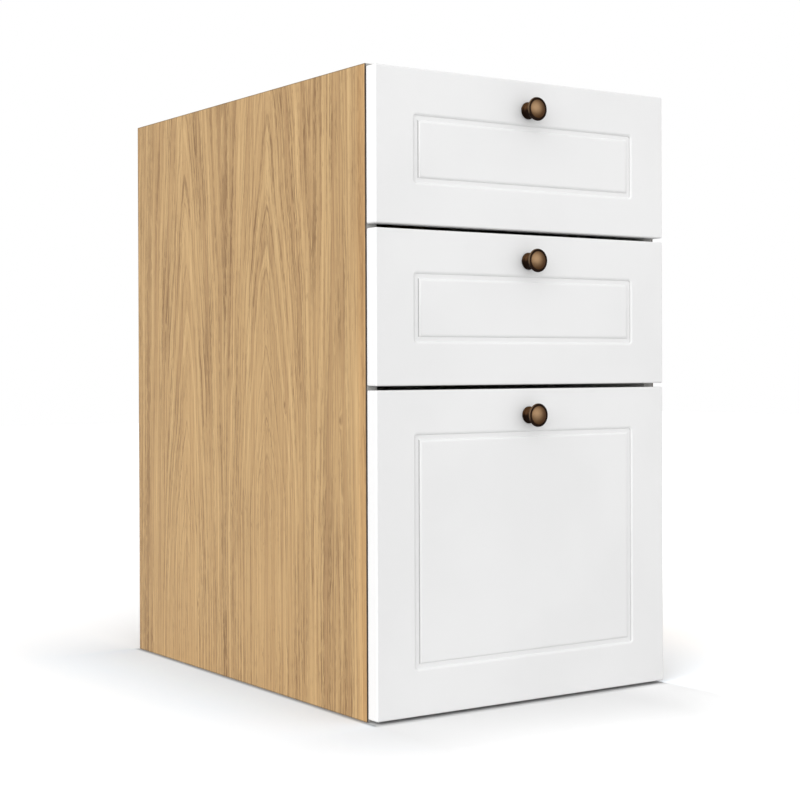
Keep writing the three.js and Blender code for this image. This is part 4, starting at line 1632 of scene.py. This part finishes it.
@dataclass(frozen=True)
class ScrewKind:
    """The sizes of one kind of screw: its head, its shank, and the cross-shaped recess's arms and slot."""

    head_radius: float
    head_height: float
    shank_radius: float
    shank_length: float
    recess: float
    slot: float

    def values(self, turn: Vector, seed: int) -> dict[str, object]:
        """These sizes under the recipe's input names."""
        return {
            "HeadRadius": self.head_radius, "HeadHeight": self.head_height,
            "ShankRadius": self.shank_radius, "ShankLength": self.shank_length,
            "Recess": self.recess, "Slot": self.slot, "Turn": tuple(turn), "Seed": seed,
        }


PAN_HEAD = ScrewKind(4.0 * MM, 2.4 * MM, 1.9 * MM, 10.0 * MM, 2.2 * MM, 0.9 * MM)
WAFER_HEAD = ScrewKind(4.2 * MM, 0.8 * MM, 1.8 * MM, 9.0 * MM, 1.9 * MM, 0.8 * MM)

TURN_TO_REAR = Vector((-math.pi / 2, 0.0, 0.0))
TURN_TO_RIGHT = Vector((0.0, math.pi / 2, 0.0))
TURN_TO_LEFT = Vector((0.0, -math.pi / 2, 0.0))


# ------------------------------------------------------------------------------ slides

class Hand(Enum):
    """Which side of the cabinet a slide is on: its name and the way from the middle to its panel."""

    LEFT = ("left", -1.0)
    RIGHT = ("right", 1.0)


@dataclass
class BallSlide:
    """One telescopic slide: three rolled members with their ball rows and cages, and where its screws sit.

    Attributes:
        drawer: The drawer's name.
        hand: The side it is on.
        finishes: The shared materials.
        rolled: The recipe for the members and cages.
        balls: The recipe for the ball rows.
        gauge: The steel's thickness.
        lip_clearance: Between a lip and the member inside it.
        bend: The radius of the members' bends.
        hole_radius: The radius of the members' holes.
        hole_margin: From a member's ends to its outermost holes.
        holes: How many holes and screws the outer members have.
        middle_holes: How many holes the middle member has.
        cage_gauge: The thickness of a ball cage.
        cage_length: Its length.
        cage_leg: How far its leg reaches down beside the balls.
        cage_bend: The radius of its bend.
        cage_hole_radius: The radius of its holes.
        cage_hole_margin: From its ends to its holes.
        cage_holes: How many holes it has.
        ball_radius: The radius of a ball.
        ball_pitch: From ball to ball.
        end_gap: From a cage to the end of the middle member.
        outer_reach: How far the outer cage ends short of the middle member's face, in gauges.
        inner_reach: The same for the inner cage.
    """

    drawer: str
    hand: Hand
    finishes: Finishes
    rolled: Recipe
    balls: Recipe
    gauge: float = 1.2 * MM
    lip_clearance: float = 0.3 * MM
    bend: float = 0.55 * MM
    hole_radius: float = 2.5 * MM
    hole_margin: float = 35.0 * MM
    holes: int = 3
    middle_holes: int = 2
    cage_gauge: float = 0.5 * MM
    cage_length: float = 190.0 * MM
    cage_leg: float = 4.5 * MM
    cage_bend: float = 0.2 * MM
    cage_hole_radius: float = 0.6 * MM
    cage_hole_margin: float = 4.0 * MM
    cage_holes: int = 2
    ball_radius: float = 1.45 * MM
    ball_pitch: float = 11.0 * MM
    end_gap: float = 6.0 * MM
    outer_reach: float = 2.2
    inner_reach: float = 1.6

    def __post_init__(self) -> None:
        """Takes the members' boxes from the frame."""
        self.label = f"{self.drawer}_slide_{self.hand.value[0]}"
        self.sign = self.hand.value[1]
        self.boxes = {part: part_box(f"{self.label}_{part}_member") for part in ("cabinet", "middle", "drawer")}
        low, high = self.boxes["cabinet"]
        self.wall = high.x if self.sign > 0 else low.x
        self.level = (low.z + high.z) / 2

    def depth(self, part: str) -> tuple[float, float]:
        """How far a member's nearest and farthest faces lie from the side panel."""
        low, high = self.boxes[part]
        near, far = sorted((abs(self.wall - low.x), abs(self.wall - high.x)))
        return near, far

    def height(self, part: str) -> float:
        """A member's height."""
        low, high = self.boxes[part]
        return high.z - low.z

    def channel(self, width: float, height: float, lip: float | None) -> Outline:
        """A channel's outline: web at x = 0, flanges towards +x, with rolled lips down to y = lip."""
        outer, inner = height / 2, height / 2 - self.gauge
        upper = [(0.0, outer), (width, outer)]
        if lip is not None:
            upper += [(width, lip), (width - self.gauge, lip), (width - self.gauge, inner)]
        else:
            upper += [(width, inner)]
        upper += [(self.gauge, inner)]
        return upper + [(x, -y) for x, y in reversed(upper)]

    def stand(self, piece: Object, start_y: float, depth: float, away: bool) -> None:
        """Turns a piece made along +Z into its place along +Y, with its web at a depth from the panel.

        Args:
            piece: The piece, its web at x = 0.
            start_y: Where its front end lies.
            depth: Its web's distance from the side panel.
            away: True where it opens away from the panel.
        """
        inward = -self.sign if away else self.sign
        axes = Matrix((
            (inward, 0.0, 0.0, self.wall - self.sign * depth),
            (0.0, 0.0, 1.0, start_y),
            (0.0, 1.0, 0.0, self.level),
            (0.0, 0.0, 0.0, 1.0),
        ))
        piece.data.transform(axes)
        tidy_faces(piece.data)

    def member(self, part: str, lip: float | None, away: bool, body: str, holes: int) -> None:
        """Rolls one member where its CAD node is."""
        low, high = self.boxes[part]
        near, far = self.depth(part)
        node = f"{self.label}_{part}_member"
        outline = self.channel(far - near, self.height(part), lip)
        piece = self.rolled.make(
            f"{node}_rolled", outline_mesh(node, outline), self.finishes.zinc,
            {"Length": high.y - low.y, "Bend": self.bend, "HoleRadius": self.hole_radius,
             "HoleMargin": self.hole_margin, "Holes": holes})
        self.stand(piece, low.y, near if away else far, away)
        settle_normals(piece)
        ride(piece, body, (node,))

    def race(
        self, name: str, start_y: float, across: float, depth: float, leg_depth: float, reach: float,
    ) -> None:
        """A row of balls above and below with the cage strips that space them.

        Args:
            name: What the race is called.
            start_y: Its front end.
            across: The balls' distance above and below the slide's middle.
            depth: The balls' distance from the side panel.
            leg_depth: The distance from the side panel to the cage's leg.
            reach: How far from the panel the cage's strip ends.
        """
        count = int(self.cage_length / self.ball_pitch)
        body = f"{self.drawer}_middle_members"
        spare = (self.cage_length - (count - 1) * self.ball_pitch) / 2
        rows = self.balls.make(
            f"{self.label}_{name}_balls", points_mesh(name, [(0.0, 0.0, 0.0)]), self.finishes.ball,
            {"Radius": self.ball_radius, "Balls": count, "Pitch": self.ball_pitch, "Start": spare,
             "Across": across, "Depth": depth - leg_depth})
        self.stand(rows, start_y, leg_depth, True)
        ride(rows, body)
        half = self.cage_gauge / 2
        for side, word in ((1.0, "upper"), (-1.0, "lower")):
            strip = [
                (0.0, across + half), (reach - leg_depth, across + half), (reach - leg_depth, across - half),
                (self.cage_gauge, across - half), (self.cage_gauge, across - self.cage_leg),
                (0.0, across - self.cage_leg),
            ]
            outline = [(x, y * side) for x, y in strip]
            cage = self.rolled.make(
                f"{self.label}_{name}_cage_{word}",
                outline_mesh(f"{name}_{word}", outline),
                self.finishes.zinc,
                {"Length": self.cage_length, "Bend": self.cage_bend, "HoleRadius": self.cage_hole_radius,
                 "HoleMargin": self.cage_hole_margin, "Holes": self.cage_holes})
            self.stand(cage, start_y, leg_depth, True)
            ride(cage, body)

    def screw_points(self, part: str, inset: float) -> list[Point]:
        """Where a member's screws sit on its web."""
        low, high = self.boxes[part]
        pitch = (high.y - low.y - 2 * self.hole_margin) / (self.holes - 1)
        x = self.wall - self.sign * inset
        return [(x, low.y + self.hole_margin + index * pitch, self.level) for index in range(self.holes)]

    def build(self) -> None:
        """Makes the whole slide."""
        middle_height, drawer_height = self.height("middle"), self.height("drawer")
        clear = self.lip_clearance
        middles = f"{self.drawer}_middle_members"
        self.member("cabinet", middle_height / 2 + clear, True, "carcass", self.holes)
        self.member("middle", drawer_height / 2 + clear, True, middles, self.middle_holes)
        self.member("drawer", None, False, f"{self.drawer}_drawer", self.holes)
        middle_low, middle_high = self.boxes["middle"]
        cabinet_inner = self.height("cabinet") / 2 - self.gauge
        middle_inner = middle_height / 2 - self.gauge
        middle_near, middle_far = self.depth("middle")
        drawer_near = self.depth("drawer")[0]
        outer_leg = (middle_near - self.gauge - self.cage_gauge) / 2
        inner_leg = (drawer_near - middle_near - self.gauge - self.cage_gauge) / 2
        self.race(
            "outer_race",
            start_y=middle_high.y - self.cage_length - self.end_gap,
            across=(cabinet_inner + middle_height / 2) / 2,
            depth=(middle_near + middle_far) / 2 - self.gauge,
            leg_depth=self.gauge + outer_leg,
            reach=middle_far - self.outer_reach * self.gauge)
        self.race(
            "inner_race",
            start_y=middle_low.y + self.end_gap,
            across=(middle_inner + drawer_height / 2) / 2,
            depth=(drawer_near + middle_far) / 2 - self.gauge / 2,
            leg_depth=middle_near + self.gauge + inner_leg,
            reach=middle_far - self.inner_reach * self.gauge)


# ------------------------------------------------------------------------------ screws by body

@dataclass
class Fasteners:
    """The screws that show: one set for each body, made by one recipe.

    Attributes:
        finishes: The shared materials.
        recipe: The screws' recipe.
    """

    finishes: Finishes
    recipe: Recipe

    def group(self, name: str, parts: Sequence[tuple[list[Point], ScrewKind, Vector]]) -> Object:
        """Several sets of screws joined into one plain mesh."""
        mesh = bpy.data.meshes.new(name)
        with editing(mesh) as grid:
            for index, (points, kind, turn) in enumerate(parts):
                base = points_mesh(name, points)
                made = self.recipe.make(
                    f"{name}_{index}", base, self.finishes.zinc, kind.values(turn, index))
                grid.from_mesh(made.data)
                bpy.data.objects.remove(made)
        mesh.materials.append(self.finishes.zinc)
        return link(name, mesh)

    @staticmethod
    def seat(node: str) -> Point:
        """Where a CAD screw's head lies on the wood: one head's height in front of its rear end."""
        low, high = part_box(node)
        return (low.x + high.x) / 2, high.y - PAN_HEAD.head_height, (low.z + high.z) / 2

    def build(self, slides: Sequence[BallSlide]) -> None:
        """Makes the carcass's screws and each drawer's."""
        on_cabinet = []
        for slide in slides:
            turn = TURN_TO_RIGHT if slide.hand is Hand.LEFT else TURN_TO_LEFT
            on_cabinet.append((slide.screw_points("cabinet", slide.gauge), WAFER_HEAD, turn))
        ride(self.group("slide_screws_in_sides", on_cabinet), "carcass")
        for drawer in DRAWERS:
            names = ("knob_screw", "front_screw_left", "front_screw_right")
            replaced = [f"{drawer}_drawer_{name}" for name in names]
            parts = [([self.seat(node) for node in replaced], PAN_HEAD, TURN_TO_REAR)]
            for slide in slides:
                if slide.drawer == drawer:
                    inset = slide.depth("drawer")[1] - slide.gauge
                    turn = TURN_TO_LEFT if slide.hand is Hand.LEFT else TURN_TO_RIGHT
                    parts.append((slide.screw_points("drawer", inset), WAFER_HEAD, turn))
            ride(self.group(f"{drawer}_drawer_screws", parts), f"{drawer}_drawer", replaced)


# ------------------------------------------------------------------------------ studio

@dataclass(frozen=True)
class PhotoCamera:
    """The photograph's camera, in the object's frame and in the photograph's pixels.

    Attributes:
        place: Where it stands.
        yaw: How far it is turned right of +Y.
        pitch: How far it looks up.
        roll: How far it is tilted, its right side up.
        focal_px: Its focal length in pixels.
        axis_px: Where its axis meets the picture, from the left and the top.
        frame_px: The picture's width and height.
        sensor_mm: The sensor's width.
        clip: How near and how far it sees.
    """

    place: Point = (-1.257, -1.83725, 0.410)
    yaw: float = math.radians(33.49)
    pitch: float = math.radians(-0.233)
    roll: float = math.radians(-0.215)
    focal_px: float = 1622.4
    axis_px: tuple[float, float] = (364.7, 373.6)
    frame_px: float = 800.0
    sensor_mm: float = 36.0
    clip: tuple[float, float] = (0.05, 60.0)

    def build(self) -> Object:
        """Makes the camera and turns it as the photograph's was."""
        data = bpy.data.cameras.new("photo_camera")
        data.sensor_width = self.sensor_mm
        data.lens = self.focal_px / self.frame_px * self.sensor_mm
        data.shift_x = (self.frame_px / 2 - self.axis_px[0]) / self.frame_px
        data.shift_y = (self.axis_px[1] - self.frame_px / 2) / self.frame_px
        data.clip_start, data.clip_end = self.clip
        camera = bpy.data.objects.new("photo_camera", data)
        bpy.context.scene.collection.objects.link(camera)
        ahead = Vector((
            math.sin(self.yaw) * math.cos(self.pitch),
            math.cos(self.yaw) * math.cos(self.pitch),
            math.sin(self.pitch),
        ))
        right = Vector((math.cos(self.yaw), -math.sin(self.yaw), 0.0))
        up = right.cross(ahead)
        turned_right = right * math.cos(self.roll) + up * math.sin(self.roll)
        turned_up = up * math.cos(self.roll) - right * math.sin(self.roll)
        axes = Matrix((turned_right, turned_up, -ahead)).transposed().to_4x4()
        camera.matrix_world = Matrix.Translation(Vector(self.place)) @ axes
        bpy.context.scene.camera = camera
        return camera


@dataclass(frozen=True)
class Softbox:
    """A bright part of the sky.

    Attributes:
        towards: Where it is, seen from the cabinet.
        strength: Its brightness in the middle.
        sharpness: How fast it fades outwards.
    """

    towards: Point
    strength: float
    sharpness: float = 4.0

    def level(self, graph: Graph, direction: NodeSocket) -> Signal:
        """Its brightness in a direction."""
        centre = tuple(Vector(self.towards).normalized())
        dot = graph.node("ShaderNodeVectorMath", {"operation": "DOT_PRODUCT"}, {0: direction, 1: centre})
        return Signal(graph, dot.outputs["Value"]).at_least(0.0) ** self.sharpness * self.strength


@dataclass(frozen=True)
class FloorShade:
    """How the floor brightens away from one side of the cabinet, as shares of its lightest tone.

    Attributes:
        foot: The share in the dark line where the cabinet touches the floor.
        near: The share just outside that line.
        far: The share where the shading ends.
        contact: The width of the dark line, in mm.
        reach: Where the shading ends, in mm.
        bend: The curve from near to far: 1 is even, more is slow at first, less is fast at first.
    """

    foot: float
    near: float
    far: float
    contact: float
    reach: float
    bend: float

    def level(self, away: Signal) -> Signal:
        """The share at a distance, in mm."""
        outside = away.rise(0.0, self.contact) * (self.near - self.foot) + self.foot
        return (away / self.reach).at_most(1.0) ** self.bend * (self.far - self.near) + outside


@dataclass(frozen=True)
class Studio:
    """A white sweep under an even dome with large softboxes, the strongest on the left and in front.

    Attributes:
        dome: The dome's own brightness.
        softboxes: What is added to it.
        floor_tone: The floor's own tone where it lights the cabinet.
        floor_shown: The lightest tone that the camera sees of it.
        shades: How that tone fades towards each side of the cabinet's foot.
        shade_under: The share under the cabinet.
        under_weight: How much that share weighs, in mm beside a side.
        weights: How much each side's curve weighs at the corners.
        corner_lift: How much brighter the front's curve is at the right corner.
        corner_run: How far from that corner it starts to brighten, in mm.
        oak_opposite: A painted cool tint that cancels the warm light bounced off the oak onto the floor beside
            it.
        right_tint: The share of that on the right, which is lit less.
        tint_fade: Where it ends and where it is full, out from the cabinet, in mm.
        tint_losses: Its loss towards the front and the rear, and from where to where, in mm.
        knob_reach: How far the knobs stand out over the floor, in mm.
        floor_half: Half the floor's size, in metres.
        floor_drop: How far the floor lies under the cabinet.
    """

    dome: float = 0.35
    softboxes: tuple[Softbox, ...] = (
        Softbox((-1.0, 0.0, 0.0), 1.25),
        Softbox((-0.8, -0.6, 0.0), 1.38),
        Softbox((0.0, -1.0, 0.0), 0.76),
        Softbox((0.7, -0.7, 0.0), 0.42),
        Softbox((-0.7, 0.0, 0.7), 0.89),
        Softbox((-0.5, -0.6, 0.6), 0.51, 6.0),
        Softbox((0.6, -0.6, 0.6), 0.18, 6.0),
    )
    floor_tone: float = 0.62
    floor_shown: float = 1.84
    shades: Mapping[str, FloorShade] = field(default_factory=lambda: {
        "left": FloorShade(foot=0.18, near=0.495, far=0.65, contact=9.5, reach=200.0, bend=1.0),
        "right": FloorShade(foot=0.80, near=0.80, far=0.94, contact=1.0, reach=260.0, bend=0.6),
        "front": FloorShade(foot=0.34, near=0.462, far=0.62, contact=12.0, reach=200.0, bend=2.0),
        "rear": FloorShade(foot=0.50, near=0.50, far=0.70, contact=1.0, reach=320.0, bend=0.3),
    })
    shade_under: float = 0.30
    under_weight: float = 0.001
    weights: Mapping[str, float] = field(
        default_factory=lambda: {"left": 1.0, "right": 5.0, "front": 1.0, "rear": 1.0})
    corner_lift: float = 0.095
    corner_run: float = 110.0
    oak_opposite: Rgb = (0.915, 1.0, 1.09)
    right_tint: float = 0.5
    tint_fade: Fade = (300.0, 100.0)
    tint_losses: tuple[tuple[float, Fade], ...] = ((0.6, (260.0, -20.0)), (0.4, (-150.0, 60.0)))
    knob_reach: float = 22.0
    floor_half: float = 9.0
    floor_drop: float = 0.3 * MM

    def build(self) -> None:
        """Makes the world and the floor."""
        scene = bpy.context.scene
        scene.view_settings.view_transform = "Standard"
        scene.world = self.world()
        self.floor()

    def world(self) -> World:
        """The sky: white to the camera, the dome and softboxes for everything that it lights."""
        world = bpy.data.worlds.new("soft_dome")
        world.use_nodes = True
        graph = Graph(world.node_tree)
        graph.tree.nodes.clear()
        direction = graph.node("ShaderNodeTexCoord").outputs["Generated"]
        strength: Operand = self.dome
        for softbox in self.softboxes:
            strength = softbox.level(graph, direction) + strength
        to_camera = Signal(graph, graph.node("ShaderNodeLightPath").outputs["Is Camera Ray"])
        level = strength * (1 - to_camera) + to_camera
        background = graph.first("ShaderNodeBackground", None, {0: WHITE, 1: level})
        graph.node("ShaderNodeOutputWorld", None, {0: background})
        return world

    def floor_colour(self, surface: Surface) -> NodeSocket:
        """What the floor shows the camera: blended from the curves of the sides it lies beyond."""
        low, high = (corner / MM for corner in CAD_BOX)
        beyond = {
            "left": (low.x - surface.x).at_least(0.0),
            "right": (surface.x - high.x).at_least(0.0),
            "front": (low.y + self.knob_reach - surface.y).at_least(0.0),
            "rear": (surface.y - high.y).at_least(0.0),
        }
        squares = 0.0
        for reach in beyond.values():
            squares = reach * reach + squares
        away = squares.root()
        lift = surface.x.rise(high.x - self.corner_run, high.x) * self.corner_lift
        total, share = self.under_weight, self.under_weight * self.shade_under
        for side, reach in beyond.items():
            weight = reach * self.weights[side]
            level = self.shades[side].level(away) + (lift if side == "front" else 0.0)
            share, total = level * weight + share, weight + total
        tinted = self.tint(surface, beyond) / total * away.rise(*self.tint_fade)
        return surface.shade(surface.mix(tinted, WHITE, self.oak_opposite), share / total * self.floor_shown)

    def tint(self, surface: Surface, beyond: Mapping[str, Signal]) -> Signal:
        """How much the painted cool tint weighs, which cancels the oak's bounced light and keeps the floor
        neutral beside it.
        """
        low, high = (corner / MM for corner in CAD_BOX)
        kept: Operand = 1.0
        for edge, (loss, fade) in zip((low.y, high.y), self.tint_losses):
            kept = kept - surface.y.rise(*(edge + run for run in fade)) * loss
        return beyond["left"] * kept + beyond["right"] * (self.weights["right"] * self.right_tint)

    def floor(self) -> None:
        """The pale floor: even in what it lights, shaded towards the cabinet's foot as the camera sees it."""
        reach = self.floor_half
        mesh = bpy.data.meshes.new("studio_floor")
        corners = [(-reach, -reach), (reach, -reach), (reach, reach), (-reach, reach)]
        mesh.from_pydata([(x, y, -self.floor_drop) for x, y in corners], [], [(0, 1, 2, 3)])
        surface = Surface("pale_floor")
        to_camera = surface.node("ShaderNodeLightPath").outputs["Is Camera Ray"]
        lit = surface.first("ShaderNodeBsdfDiffuse", None, {0: (self.floor_tone,) * 3})
        shown = surface.first("ShaderNodeBsdfDiffuse", None, {0: self.floor_colour(surface)})
        both = surface.first("ShaderNodeMixShader", None, {0: to_camera, 1: lit, 2: shown})
        surface.node("ShaderNodeOutputMaterial", None, {0: both})
        mesh.materials.append(surface.material)
        link("studio_floor", mesh)


# ------------------------------------------------------------------------------ everything


def main() -> None:
    """Builds the camera, the studio and each sub-assembly in order."""
    logging.basicConfig(level=logging.INFO, format="%(name)s: %(message)s")
    PhotoCamera().build()
    Studio().build()
    finishes = Finishes()
    Carcass(finishes).build()
    rolled, balls, screws = rolled_section_recipe(), ball_row_recipe(), screw_recipe()
    slides = []
    for drawer in DRAWERS:
        RoutedFront(drawer, finishes).build()
        MushroomKnob(drawer).build()
        DrawerBox(drawer, finishes).build()
        for hand in Hand:
            slide = BallSlide(drawer, hand, finishes, rolled, balls)
            slide.build()
            slides.append(slide)
    Fasteners(finishes, screws).build(slides)


if __name__ == "__main__":
    main()
